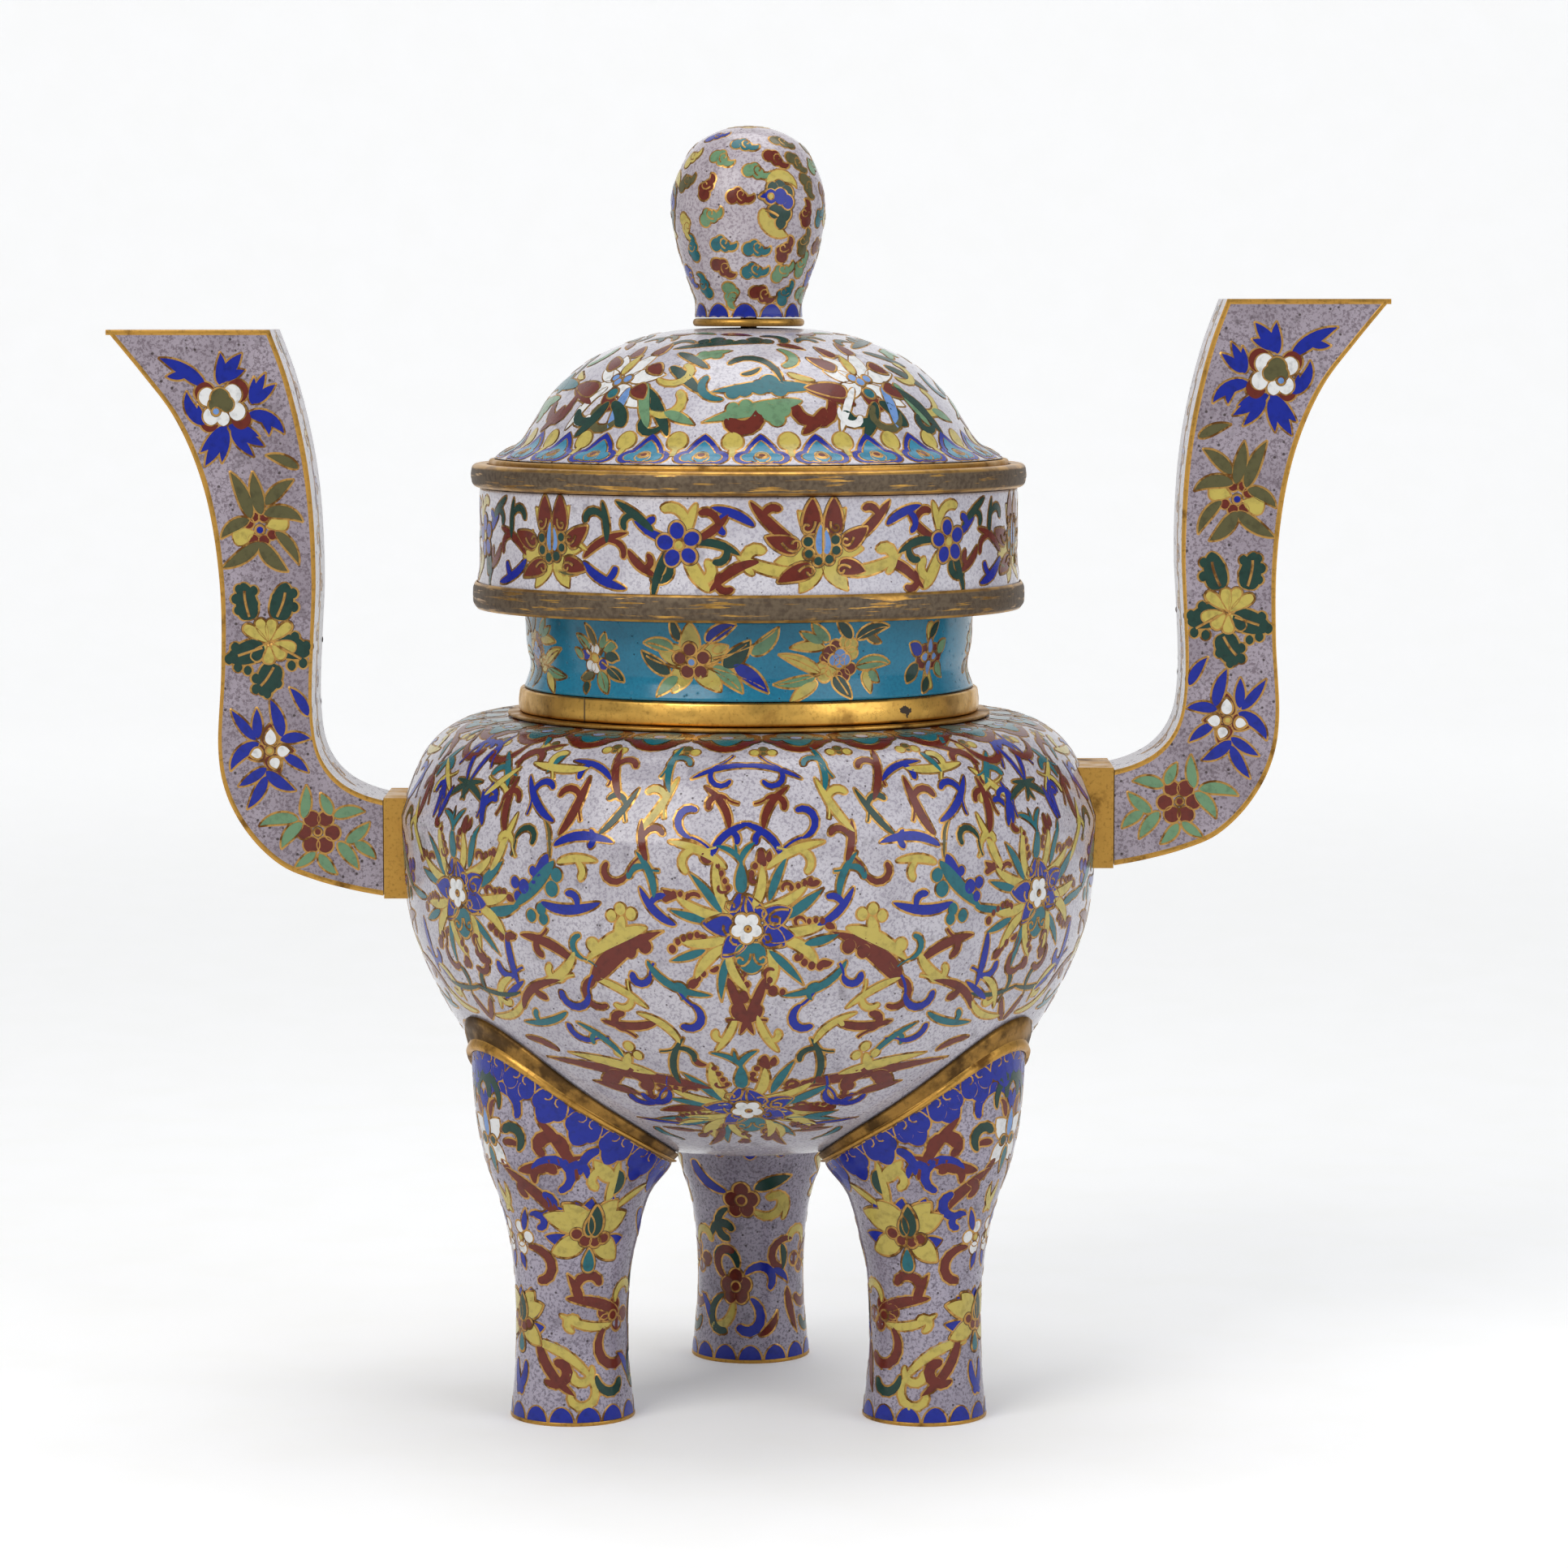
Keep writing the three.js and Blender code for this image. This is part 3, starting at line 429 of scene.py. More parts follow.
coverForm = {"skirt": 75.9, "skirtBore": 74.5, "flatBore": 70.6, "foot": 290.7, "dome": 78.5,
             "domeHeight": 40, "land": 4.4, "wall": 2.4}
low, high, radius = boxOf("cover_rim")
addTurned("coverRim", rounded([
    (coverForm["skirtBore"], low), (coverForm["skirt"], low), (coverForm["skirt"], coverForm["foot"]),
    (radius, coverForm["foot"]), (radius, high - 0.5), (radius - 0.5, high), (coverForm["flatBore"], high),
    (coverForm["flatBore"], coverForm["foot"]), (coverForm["skirtBore"], coverForm["foot"])], 0.4),
    "cover", [giltRing], replaces=["cover_rim"])

domeShares = [(1, 0), (0.962, 0.048), (0.899, 0.12), (0.842, 0.285), (0.772, 0.49), (0.632, 0.74),
              (0.43, 0.915), (0.248, 0.983), (0, 1)]
low, high, radius = boxOf("cover_dome")


def domeOutline(radius, height, count):
    return evenly(smooth([(radius * out, low + height * up) for out, up in domeShares], 900), count)


domeLine = domeOutline(coverForm["dome"], coverForm["domeHeight"], 110)
domeInside = domeOutline(coverForm["dome"] - coverForm["land"], coverForm["domeHeight"] - coverForm["wall"],
                         60)[::-1]
domeProfile = np.concatenate([domeLine, domeInside])
addTurned("domeGround", domeProfile, "cover", [whiteEnamel, copperInside],
          innerFrom=len(domeLine) - 1, replaces=["cover_dome"])

budForm = {"radius": 23.6, "height": 58.3, "wall": 2.2, "ringBore": 2.9}
budShares = [(0.7, 0), (0.7, 0.09), (0.814, 0.218), (0.936, 0.389), (1, 0.561), (0.941, 0.729),
             (0.708, 0.899), (0.335, 0.985), (0, 1)]
low, high, radius = boxOf("finial_bud")
budLine = evenly(smooth([(budForm["radius"] * out, low + budForm["height"] * up) for out, up in budShares],
                        900), 90)
budInside = inset(budLine, budForm["wall"])[::-1]
budInside[0, 0] = 0
budInside[-1, 1] = low
addTurned("budGround", np.concatenate([budLine, budInside]), "cover",
          [finialEnamel, copperInside], sides=160, innerFrom=len(budLine) - 1, replaces=["finial_bud"])

low, high, radius = boxOf("finial_ring")
addTurned("finialRing", rounded([
    (budForm["ringBore"], low), (radius - 0.6, low), (radius, (low + high) / 2), (radius - 0.6, high),
    (budForm["ringBore"], high)], 0.7), "cover", [giltRing], sides=160, replaces=["finial_ring"])
print("round pieces ready")


# Legs
legForm = {
    "circle": 62.5, "top": 30.4, "foot": 1.5, "wall": 2.4, "gap": 0.6,
    "turns": {"left": -150, "right": -30, "rear": 90},
    "outerShares": [0.62, 0.588, 0.57, 0.567, 0.592, 0.645, 0.74, 0.872, 0.955, 0.992, 1],
    "innerShares": [0.62, 0.592, 0.566, 0.556, 0.558, 0.568, 0.588, 0.642, 0.7, 0.8, 1],
    "collarOuter": 6.8, "collarInner": 2.6, "collarProud": 2.2, "beadProud": 0.8, "collarInset": 2.6,
}
seatLine = inset(bodyLine, -legForm["gap"])
widest = int(np.argmax(seatLine[:, 0]))


# Height of the body's underside over a point about a leg's axis
def undersideOver(radius, turn):
    out = np.hypot(legForm["circle"] + radius * np.cos(turn), radius * np.sin(turn))
    return np.interp(out, seatLine[:widest, 0], seatLine[:widest, 1])


def collarBottom(turn):
    facing = (1 + np.cos(turn)) / 2
    drop = legForm["collarInner"] + facing * (legForm["collarOuter"] - legForm["collarInner"])
    return undersideOver(legForm["top"], turn) - drop


# Leg radius: the outward and inward outlines blended by the cosine of the turn
legRows = np.linspace(0, 1, 200)
legOutlines = [smooth([(share, step) for step, share in enumerate(legForm[key])], 200)[:, 0]
               for key in ("outerShares", "innerShares")]


def legRadius(share, turn):
    facing = (1 + np.cos(turn)) / 2
    outer, inner = (np.interp(share, legRows, outline) for outline in legOutlines)
    return legForm["top"] * (facing * outer + (1 - facing) * inner)


# A point by radius, turn and height about a leg's axis, then turned about the body's axis to its leg
def aboutLeg(radius, turn, height, legTurn=0.0):
    x, y = legForm["circle"] + radius * np.cos(turn), radius * np.sin(turn)
    return turnedAbout(np.stack([x, y, height + 0 * x], axis=-1), legTurn)


def turnedAbout(points, degrees):
    c, s = math.cos(math.radians(degrees)), math.sin(math.radians(degrees))
    x, y = points[..., 0], points[..., 1]
    return np.stack([c * x - s * y, s * x + c * y, points[..., 2]], axis=-1)


legTurnsRound = np.linspace(0, 2 * math.pi, 120, endpoint=False)[None, :]


def legShell(legTurn):
    share = np.linspace(0, 1, 90)[:, None]
    height = legForm["foot"] + share * (collarBottom(legTurnsRound) - 0.3 - legForm["foot"])
    outer = aboutLeg(legRadius(share, legTurnsRound), legTurnsRound, height, legTurn)
    inner = aboutLeg(legRadius(share, legTurnsRound) - legForm["wall"], legTurnsRound, height, legTurn)[::-1]
    return np.concatenate([outer, inner])


# Collar section at every turn: from the bead at the bottom out to the band and up to the body
def legCollar(legTurn):
    bottom = collarBottom(legTurnsRound)
    inner, face = legForm["top"] - legForm["collarInset"], legForm["top"] + legForm["collarProud"]
    bead = legForm["top"] + legForm["beadProud"]
    top = undersideOver(face, legTurnsRound)
    corners = [(inner, 0), (bead - 0.3, 0), (bead + 0.7, 0.05), (bead + 1.0, 0.16), (bead + 0.6, 0.27),
               (bead + 0.2, 0.34), (face - 0.5, 0.6), (face, 0.8), (face, 1)]
    rows = [aboutLeg(np.full_like(bottom, radius), legTurnsRound, bottom + share * (top - bottom), legTurn)
            for radius, share in corners]
    rows.append(aboutLeg(np.full_like(bottom, inner), legTurnsRound, undersideOver(inner, legTurnsRound),
                         legTurn))
    return np.concatenate(rows)


for side, legTurn in legForm["turns"].items():
    shell = legShell(legTurn)
    addPiece("leg_" + side + "_ground", shell, gridFaces(len(shell), legTurnsRound.size, True, True),
             "vessel", [legEnamel], replaces=["leg_" + side])
    collar = legCollar(legTurn)
    bead = (np.arange(len(collar)) > 0) & (np.arange(len(collar)) < 5)
    addPiece("leg_" + side + "_collar", collar, gridFaces(len(collar), legTurnsRound.size, True, True),
             "vessel", [collarGilt, giltRing], np.repeat(bead.astype(int), legTurnsRound.size),
             replaces=["leg_collar_" + side])
    footRadius = legRadius(0.0, 0.0)
    footLine = rounded([(0.0, 0), (footRadius + 0.3, 0), (footRadius + 0.3, 1.2), (footRadius - 3, 1.2),
                        (footRadius - 3, 3.4), (0.0, 3.4)], 0.35)
    footLine = footLine[5:-5]
    turn = np.linspace(0, 2 * math.pi, 120, endpoint=False)[None, :]
    profile = np.concatenate([[(0, 0)], footLine, [(0, 3.4)]])
    foot = aboutLeg(profile[:, :1], turn, profile[:, 1:], legTurn)
    addPiece("leg_" + side + "_foot", foot, gridFaces(len(profile), 120, False, True), "vessel",
             [giltRing], replaces=["leg_foot_" + side])
print("legs ready")


# Handles
handleForm = {
    "start": 112.6, "reach": 83.5, "rise": 159, "depth": 32, "grip": 29.5, "seatHeight": 178.3, "offset": 4.7,
    "edge": 1.6, "edgeProud": 0.25,
    "outerShares": [(0, 0), (0.11, 0.01), (0.25, 0.028), (0.38, 0.055), (0.495, 0.109), (0.575, 0.18),
                    (0.604, 0.263), (0.59, 0.401), (0.59, 0.534), (0.619, 0.66), (0.673, 0.761),
                    (0.757, 0.85), (0.871, 0.924), (1, 1)],
    "innerShares": [(0, 0), (0.07, 0.012), (0.146, 0.035), (0.206, 0.071), (0.243, 0.12), (0.257, 0.189),
                    (0.257, 0.258), (0.25, 0.341), (0.24, 0.466), (0.246, 0.598), (0.265, 0.709),
                    (0.299, 0.813), (0.344, 0.91), (0.401, 1)],
}
handleSides = {"left": -1, "right": 1}


def handleEdges(count=110):
    edges = []
    for key, corner in (("outerShares", -handleForm["grip"] / 2), ("innerShares", handleForm["grip"] / 2)):
        line = smooth([(handleForm["reach"] * out, corner + (handleForm["rise"] - corner) * up)
                       for out, up in handleForm[key]], 600)
        edges.append(evenly(line, count))
    return edges


handleOuter, handleInner = handleEdges()


# Across and along a handle: the outer edge at 0 and the inner edge at 1, blended straight between them
def handleFlat(across, along):
    steps = np.linspace(0, 1, len(handleOuter))
    outer = np.stack([np.interp(along, steps, handleOuter[:, axis]) for axis in (0, 1)], axis=-1)
    inner = np.stack([np.interp(along, steps, handleInner[:, axis]) for axis in (0, 1)], axis=-1)
    return outer + (inner - outer) * np.asarray(across)[..., None]


# Handle frame: out along X from the collar, height over the seat, and depth with the front at minus half
def handlePoint(out, up, depth, side):
    sign = handleSides[side]
    x = sign * (handleForm["start"] + out)
    z = handleForm["seatHeight"] + sign * handleForm["offset"] + up
    return np.stack(np.broadcast_arrays(x, depth, z), axis=-1)


def handleShell(side):
    half = handleForm["depth"] / 2
    across = np.array([0, .06, .3, .5, .7, .94, 1, 1, 1, 1, .94, .7, .5, .3, .06, 0, 0, 0])
    depth = np.array([-1, -1, -1, -1, -1, -1, -1, -.5, .5, 1, 1, 1, 1, 1, 1, 1, .5, -.5]) * half
    along = np.linspace(0, 1, 110)[:, None]
    flat = handleFlat(across[None, :] + 0 * along, along + 0 * across[None, :])
    points = handlePoint(flat[..., 0], flat[..., 1], depth[None, :], side)
    caps = [points[:1].mean(axis=1, keepdims=True) + 0 * points[:1], points[-1:].mean(axis=1, keepdims=True)
            + 0 * points[-1:]]
    return np.concatenate([caps[0], points, caps[1]])


for side, sign in handleSides.items():
    shell = handleShell(side)
    faces = gridFaces(len(shell), shell.shape[1], False, True)
    if sign > 0:
        faces = faces[:, ::-1]
    piece = addPiece("handle_" + side + "_ground", shell, faces, "vessel", [handleEnamel],
                     replaces=["handle_" + side])
    piece.data.polygons.foreach_set("use_smooth", np.zeros(len(piece.data.polygons), dtype=bool))
print("handles ready")

for name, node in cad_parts.items():
    if "stud" in name or "nut" in name or "saddle" in name:
        node.data.materials.clear()
        node.data.materials.append(brassPlain)
    elif name.startswith("handle_collar"):
        node.data.materials.clear()
        node.data.materials.append(giltRing)


# Ornament: every enamel cell is a row. Its spine starts at x, y and sets off along the heading. The heading
# then grows by bend degrees per length at the start and by curl at the end. The half width is the widest
# one, the shape says how it tapers, and each layer lies higher than the one below it. Cells on layers -1
# and -2 run into each other, as their enamel lies over the wires of their neighbours
taper = {"leaf": (0.55, 0.85), "round": (0.5, 0.5), "club": (0.9, 0.4),
         "stem": (0.0, 0.0), "ogee": (0.3, 0.75), "petal": (0.3, 0.5), "scroll": (0.4, 0.5),
         "hook": (0.35, 0.2), "curl": (0.0, 0.0)}
bendShare = {"hook": (0.55, 1.45), "curl": (0.1, 1.9), "scroll": (1.5, 0.5)}
toneNames = list(enamelColours) + ["line", "given"]
wireForm = {"half": 0.68, "crest": 0.1, "foot": -0.08, "fill": 0.03, "layer": 0.11, "lineHalf": 0.5,
            "thin": 0.12, "joined": 0.11, "inside": 0.3, "apart": 0.008}


def cell(x, y, heading, length, bend=0, curl=0, half=1.0, shape="leaf", tone="given", layer=0):
    return [x, y, heading, length, bend, curl, half, *taper[shape], toneNames.index(tone), layer]


def dot(x, y, radius, tone, layer=0):
    return cell(x, y - radius, 90, 2 * radius, 0, 0, radius, "round", tone, layer)


def around(turn, radius):
    return radius * math.cos(math.radians(turn)), radius * math.sin(math.radians(turn))


# The same cell at even turns about the middle
def petals(count, radius, length, half, shape, tone, layer=0, start=90):
    turns = start + 360 * np.arange(count) / count
    return [cell(*around(turn, radius), turn, length, 0, 0, half, shape, tone, layer) for turn in turns]


# Cells at the listed turns about the middle, bending away from the upright on either side
def fan(turns, radius, length, bend, curl, half, shape, tone):
    rows = []
    for turn in turns:
        x, y = around(turn, radius)
        way = 1 if x < 0 else -1
        rows.append(cell(x, y, turn, length, way * bend, way * curl, half, shape, tone))
    return rows


# A scroll leaf: the main cell, and a hook that leaves it two fifths of the way along
def scrollLeaf(heading, length, turn, side, half, tone):
    x, y = around(heading + 0.1 * turn, 0.4 * length)
    split = heading + 0.32 * turn + side * 22
    return [cell(0, 0, heading, length, 0.5 * turn, 1.5 * turn, half, "leaf", tone),
            cell(x, y, split, 0.75 * length, side * 70, side * 470, half * 0.8, "leaf", tone)]


# Turns a motif by spin, resizes and mirrors it, gives its unnamed cells a tone, and puts it at a turn and a
# height
def place(rows, turn, height, spin=0, size=1.0, flip=False, tone=None):
    cells = np.array(rows, float)
    if flip:
        cells[:, 0], cells[:, 2] = -cells[:, 0], 180 - cells[:, 2]
        cells[:, 4:6] *= -1
    c, s = math.cos(math.radians(spin)), math.sin(math.radians(spin))
    x, y = cells[:, 0] * size, cells[:, 1] * size
    cells[:, 0], cells[:, 1] = c * x - s * y, s * x + c * y
    cells[:, 2] += spin
    cells[:, [3, 6]] *= size
    if tone:
        cells[cells[:, 9] == toneNames.index("given"), 9] = toneNames.index(tone)
    middle = np.broadcast_to([math.radians(turn), height], (len(cells), 2))
    return np.concatenate([middle, cells], axis=1)


# A traced row: x, y, heading, length, turning, half width, tone, shape and, where it has its own, the
# layer. The stem of a scroll starts a little further back, where it comes out of its neighbour
def tracedCell(row, x, y, layer):
    heading, length, turning, half, tone, shape = row[2:8]
    layer = row[8] if len(row) > 8 else layer
    if shape == "dot":
        return dot(x, y, half, tone, layer)
    start, end = bendShare.get(shape, (0.8, 1.2))
    if shape == "scroll":
        back = 0.16 * length
        x, y = x - back * math.cos(math.radians(heading)), y - back * math.sin(math.radians(heading))
        length += back
    return cell(x, y, heading, length, start * turning, end * turning, half, shape, tone, layer)


def tracedMotif(rows, layer=-1):
    return [tracedCell(row, row[0], row[1], layer) for row in rows]


# The same rows on a surface, with x and y read as a turn and a height
def tracedOn(rows, turnOf, flip=False):
    return np.concatenate([place([tracedCell(row, 0, 0, -1)], turnOf(row[0]), row[1], flip=flip)
                           for row in rows])


# Readings: most of the ornament was read on the photograph. A reading is a cell's first and last
# pixel, its turning in degrees, its half width in millimetres and its tone, then its shape if it isn't a
# leaf, and its layer if it isn't the table's own. A dot has its middle, half width and tone. The pixels are
# those of the photograph, whose column "axis" the object's axis stands in. A flat frame has a flower's
# middle pixel and the millimetres per pixel
photoFrame = {"size": 1932, "sensor": 36, "axis": 922.5, "before": 120, "step": 0.1}
flatFrames = {"head": (914, 1143, 0.25), "dishLotus": (1016, 672, 0.238), "broad": (853, 817, 0.24),
              "tumbled": (1037, 810, 0.24), "small": (733, 812, 0.24), "oval": (1150, 810, 0.24),
              "legLotus": (736, 1522, 0.2425), "bat": (960, 258, 0.238)}


# Points along the rays through pixels: the camera's place plus the depth times a step, whose parts across
# and up are the pixel's distance from the middle over the focal length, tipped by the camera's pitch
def alongRays(pixels):
    focal = photoFrame["size"] * cameraView["lens"] / photoFrame["sensor"]
    across = (pixels[:, 0] - photoFrame["axis"]) / focal
    up = (photoFrame["size"] / 2 - pixels[:, 1]) / focal
    pitch, distance, before = math.radians(cameraView["pitch"]), cameraView["distance"], photoFrame["before"]
    ray = np.stack([across, math.cos(pitch) + up * math.sin(pitch), up * math.cos(pitch) - math.sin(pitch)],
                   axis=-1)
    depth = np.arange(distance - before, distance + before, photoFrame["step"])
    return np.array([0, -distance, cameraView["height"]]) + ray[:, None] * depth[:, None]


# Where each ray first comes inside a shape, or else where it passes nearest to it
def firstInside(points, outside):
    gap = outside(points)
    inside = gap <= 0
    pick = np.where(inside.any(axis=1), np.argmax(inside, axis=1), np.argmin(gap, axis=1))
    return points[np.arange(len(points)), pick]


# Carries pixels to a turned surface: the turn, the running length, and the millimetres in a degree there
def onTurned(outline):
    upwards = np.argsort(outline[:, 1])
    radii, heights = outline[upwards].T
    run = runOf(outline)[upwards]

    def outside(points):
        radius = np.interp(points[..., 2], heights, radii, -1000, -1000)
        return np.hypot(points[..., 0], points[..., 1]) - radius

    def carry(pixels):
        x, y, z = firstInside(alongRays(pixels), outside).T
        return np.degrees(np.arctan2(x, -y)), np.interp(z, heights, run), np.radians(np.hypot(x, y))

    return carry


# Carries pixels to a leg: the turn about its axis, the height, and the millimetres in a degree there
def onLeg(side):
    def local(points):
        x, y, z = np.moveaxis(turnedAbout(points, -legForm["turns"][side]), -1, 0)
        return x - legForm["circle"], y, z

    def outside(points):
        x, y, z = local(points)
        turn = np.arctan2(y, x)
        share = (z - legForm["foot"]) / (collarBottom(turn) - legForm["foot"])
        gap = np.hypot(x, y) - legRadius(np.clip(share, 0, 1), turn)
        return np.where(abs(share - 0.5) < 0.52, gap, 1000)

    def carry(pixels):
        x, y, z = local(firstInside(alongRays(pixels), outside))
        turn = np.degrees(np.arctan2(y, x))
        return -turn if side == "right" else turn, z, np.radians(np.hypot(x, y))

    return carry


# Carries pixels to the front of the left handle, in the handle's own frame of out and up
def onHandle(pixels):
    x, y, z = firstInside(alongRays(pixels), lambda points: -handleForm["depth"] / 2 - points[..., 1]).T
    return -x - handleForm["start"], z - handleForm["seatHeight"] + handleForm["offset"], np.ones_like(x)


# Carries pixels to a flat motif about the middle of a flower
def onFlat(name):
    middleX, middleY, scale = flatFrames[name]
    return lambda pixels: ((pixels[:, 0] - middleX) * scale, (middleY - pixels[:, 1]) * scale,
                           np.ones(len(pixels)))


# Traced rows from readings. The length and the heading are those at which the spine, a running sum of the
# steps of its turning, ends where it was read. Where x runs to the left in the photograph, way is -1
def readOff(readings, carry, way=1):
    dots = [len(reading) < 6 for reading in readings]
    starts = np.array([reading[:2] for reading in readings], float)
    ends = np.array([reading[:2] if isDot else reading[2:4] for reading, isDot in zip(readings, dots)], float)
    startX, startY, startScale = carry(starts)
    endX, endY, endScale = carry(ends)
    crossed, risen = (endX - startX) * (startScale + endScale) / 2, endY - startY
    t = (np.arange(400) + 0.5) / 400
    rows = []
    for reading, isDot, x, y, dx, dy in zip(readings, dots, startX, startY, crossed, risen):
        if isDot:
            rows.append((x, y, 0, 0, 0, *reading[2:4], "dot", *reading[4:]))
            continue
        turning, half, tone = way * reading[4], *reading[5:7]
        shape, *layer = reading[7:] or ("leaf",)
        bend, curl = bendShare.get(shape, (0.8, 1.2))
        turned = np.radians(turning) * (bend * t + (curl - bend) * t**2 / 2)
        spine = complex(dx, dy) / complex(np.cos(turned).mean(), np.sin(turned).mean())
        heading = math.degrees(math.atan2(spine.imag, spine.real))
        rows.append((x, y, heading, abs(spine), turning, half, tone, shape, *layer))
    return rows


# A surface point raised along the normal, which is the cross product of its steps along the two ways
def raised(surface, turn, height, lift):
    step = 0.02
    point, scale = surface["point"](turn, height), surface["scale"](turn, height)
    along = surface["point"](turn + step / scale, height) - point
    up = surface["point"](turn, height + step) - point
    normal = np.cross(along, up)
    normal /= np.maximum(np.linalg.norm(normal, axis=-1, keepdims=True), 1e-12)
    return point + normal * np.asarray(lift)[..., None]


# Strips: each has its own rows and columns and its own rectangle of the map. Columns of the middle are
# marked as the crest, so that the wire material paints shade along both sides
def addStrips(name, points, wrap, body, material):
    count, rows, columns = points.shape[:3]
    faces = gridFaces(rows, columns, wrapRows=wrap)
    row = np.repeat(np.arange(rows if wrap else rows - 1), columns - 1)
    column = np.tile(np.arange(columns - 1), rows if wrap else rows - 1)
    corner = np.stack([np.stack([column, row], -1), np.stack([column + 1, row], -1),
                       np.stack([column + 1, row + 1], -1), np.stack([column, row + 1], -1)], axis=1)
    local = corner / [columns - 1, rows if wrap else rows - 1]
    grid = math.ceil(math.sqrt(count))
    tile = np.stack([np.arange(count) % grid, np.arange(count) // grid], axis=-1)[:, None, None, :]
    uv = (tile + 0.08 + 0.84 * local[None]) / grid
    allFaces = (faces[None] + (np.arange(count) * rows * columns)[:, None, None]).reshape(-1, 4)
    piece = addPiece(name, points, allFaces, body, [material], merge=False)
    layer = piece.data.uv_layers.new(name="OFBake")
    layer.data.foreach_set("uv", uv.ravel())
    crest = piece.data.attributes.new("crest", "FLOAT", "POINT")
    across = 1 - np.abs(np.linspace(-1, 1, columns))
    crest.data.foreach_set("value", np.tile(across, count * rows).astype(np.float32))
    return piece


# Cells on a surface, each a hair higher than the one before it. The spine's places are running sums of
# cosine and sine steps of the heading, and the edges stand off it by the half width times t^a (1-t)^b over
# its highest value
def addOrnament(name, surface, placed, body):
    cells = np.concatenate(placed)
    middleTurn, middleHeight, x, y, heading, length, bend, curl, half, a, b, tone, layer = cells.T
    fine, steps = 48, 12
    t = np.linspace(0, 1, fine + 1)
    turn = np.radians(heading[:, None] + bend[:, None] * t + (curl - bend)[:, None] * t**2 / 2)
    step = length[:, None] / fine
    way = np.stack([np.cos(turn) * step, np.sin(turn) * step], axis=-1)
    path = np.cumsum((way[:, :-1] + way[:, 1:]) / 2, axis=1)
    path = np.concatenate([np.zeros_like(path[:, :1]), path], axis=1) + np.stack([x, y], -1)[:, None]
    pick = np.round(fine * (1 - np.cos(math.pi * np.arange(steps + 1) / steps)) / 2).astype(int)
    path, turn, t = path[:, pick], turn[:, pick], t[pick]
    highest = np.where(a + b > 0, a / np.maximum(a + b, 1e-9), 0.5)
    peak = highest**a * (1 - highest)**b
    width = half[:, None] * t**a[:, None] * (1 - t)**b[:, None] / peak[:, None]
    width = np.maximum(width, wireForm["thin"])
    side = np.stack([-np.sin(turn), np.cos(turn)], axis=-1)
    left, right = path + side * width[..., None], path - side * width[..., None]
    scale = surface["scale"](middleTurn, middleHeight)[:, None]
    base = np.where(layer < 0, -1 - layer, layer) * wireForm["layer"]
    line = toneNames.index("line")

    def onSurface(flat, lift):
        turns = middleTurn[:, None, None] + flat[..., 0] / scale[..., None]
        return raised(surface, turns, middleHeight[:, None, None] + flat[..., 1], lift)

    joined = layer < 0
    narrow = np.maximum(width - np.where(joined, wireForm["inside"], 0)[:, None], 0)[..., None]
    fill = np.stack([path + side * narrow, path, path - side * narrow], axis=2)
    order = np.arange(len(cells)) % 7 * wireForm["apart"]
    offset = (order + base + np.where(joined, wireForm["joined"], wireForm["fill"]))[:, None, None]
    fillPoints = onSurface(fill, np.broadcast_to(offset, fill.shape[:3]))
    for index, toneName in enumerate(toneNames):
        chosen = tone == index
        if chosen.any() and toneName in cellMaterials:
            title = toneName[0].upper() + toneName[1:]
            addStrips(name + title, fillPoints[chosen], False, body, cellMaterials[toneName])

    edge = np.concatenate([left, right[:, ::-1]], axis=1)
    ahead, behind = np.roll(edge, -1, axis=1), np.roll(edge, 1, axis=1)
    tangent = ahead - behind
    tangent /= np.maximum(np.linalg.norm(tangent, axis=-1, keepdims=True), 1e-9)
    away = np.stack([-tangent[..., 1], tangent[..., 0]], axis=-1) * wireForm["half"]
    ribbon = np.stack([edge + away, edge, edge - away], axis=2)
    foot, crest = wireForm["foot"] + base, wireForm["crest"] + base
    lifts = np.stack([foot, crest, foot], axis=-1)[:, None, :]
    wires = onSurface(ribbon, np.broadcast_to(lifts, ribbon.shape[:3]))[tone != line]
    for part, block in enumerate(np.array_split(wires, max(1, math.ceil(len(wires) * 104 / 150000)))):
        addStrips(name + "Wires" + str(part + 1), block, True, body, giltWire)
    if (tone == line).any():
        thin = np.stack([path + side * wireForm["lineHalf"], path, path - side * wireForm["lineHalf"]],
                        axis=2)
        curls = onSurface(thin, np.broadcast_to(lifts, thin.shape[:3]))[tone == line]
        addStrips(name + "Curls", curls, False, body, giltWire)
    print(name + ":", len(cells), "cells")


# Surface of a turned shape by turn from the front and running length up its outline
def turnedSurface(outline):
    run = runOf(outline)

    def point(turn, height):
        radius, level = np.interp(height, run, outline[:, 0]), np.interp(height, run, outline[:, 1])
        return np.stack([radius * np.sin(turn), -radius * np.cos(turn), level], axis=-1)

    return {"point": point, "scale": lambda turn,
            height: np.maximum(np.interp(height, run, outline[:, 0]), 4.0)}


def flower(count, size, half, petal, eye):
    return petals(count, size * 0.32, size, half, "round", petal, 2) + [dot(0, 0, size * 0.27, eye, 3)]


# Two dots, or two wire lines, that mirror each other
def twoDots(x, y, radius, tone, layer=0):
    return [dot(-x, y, radius, tone, layer), dot(x, y, radius, tone, layer)]


def twoLines(x, y, heading, length, bend, curl, layer):
    return [cell(-x, y, heading, length, bend, curl, 0.3, "stem", "line", layer),
            cell(x, y, 180 - heading, length, -bend, -curl, 0.3, "stem", "line", layer)]


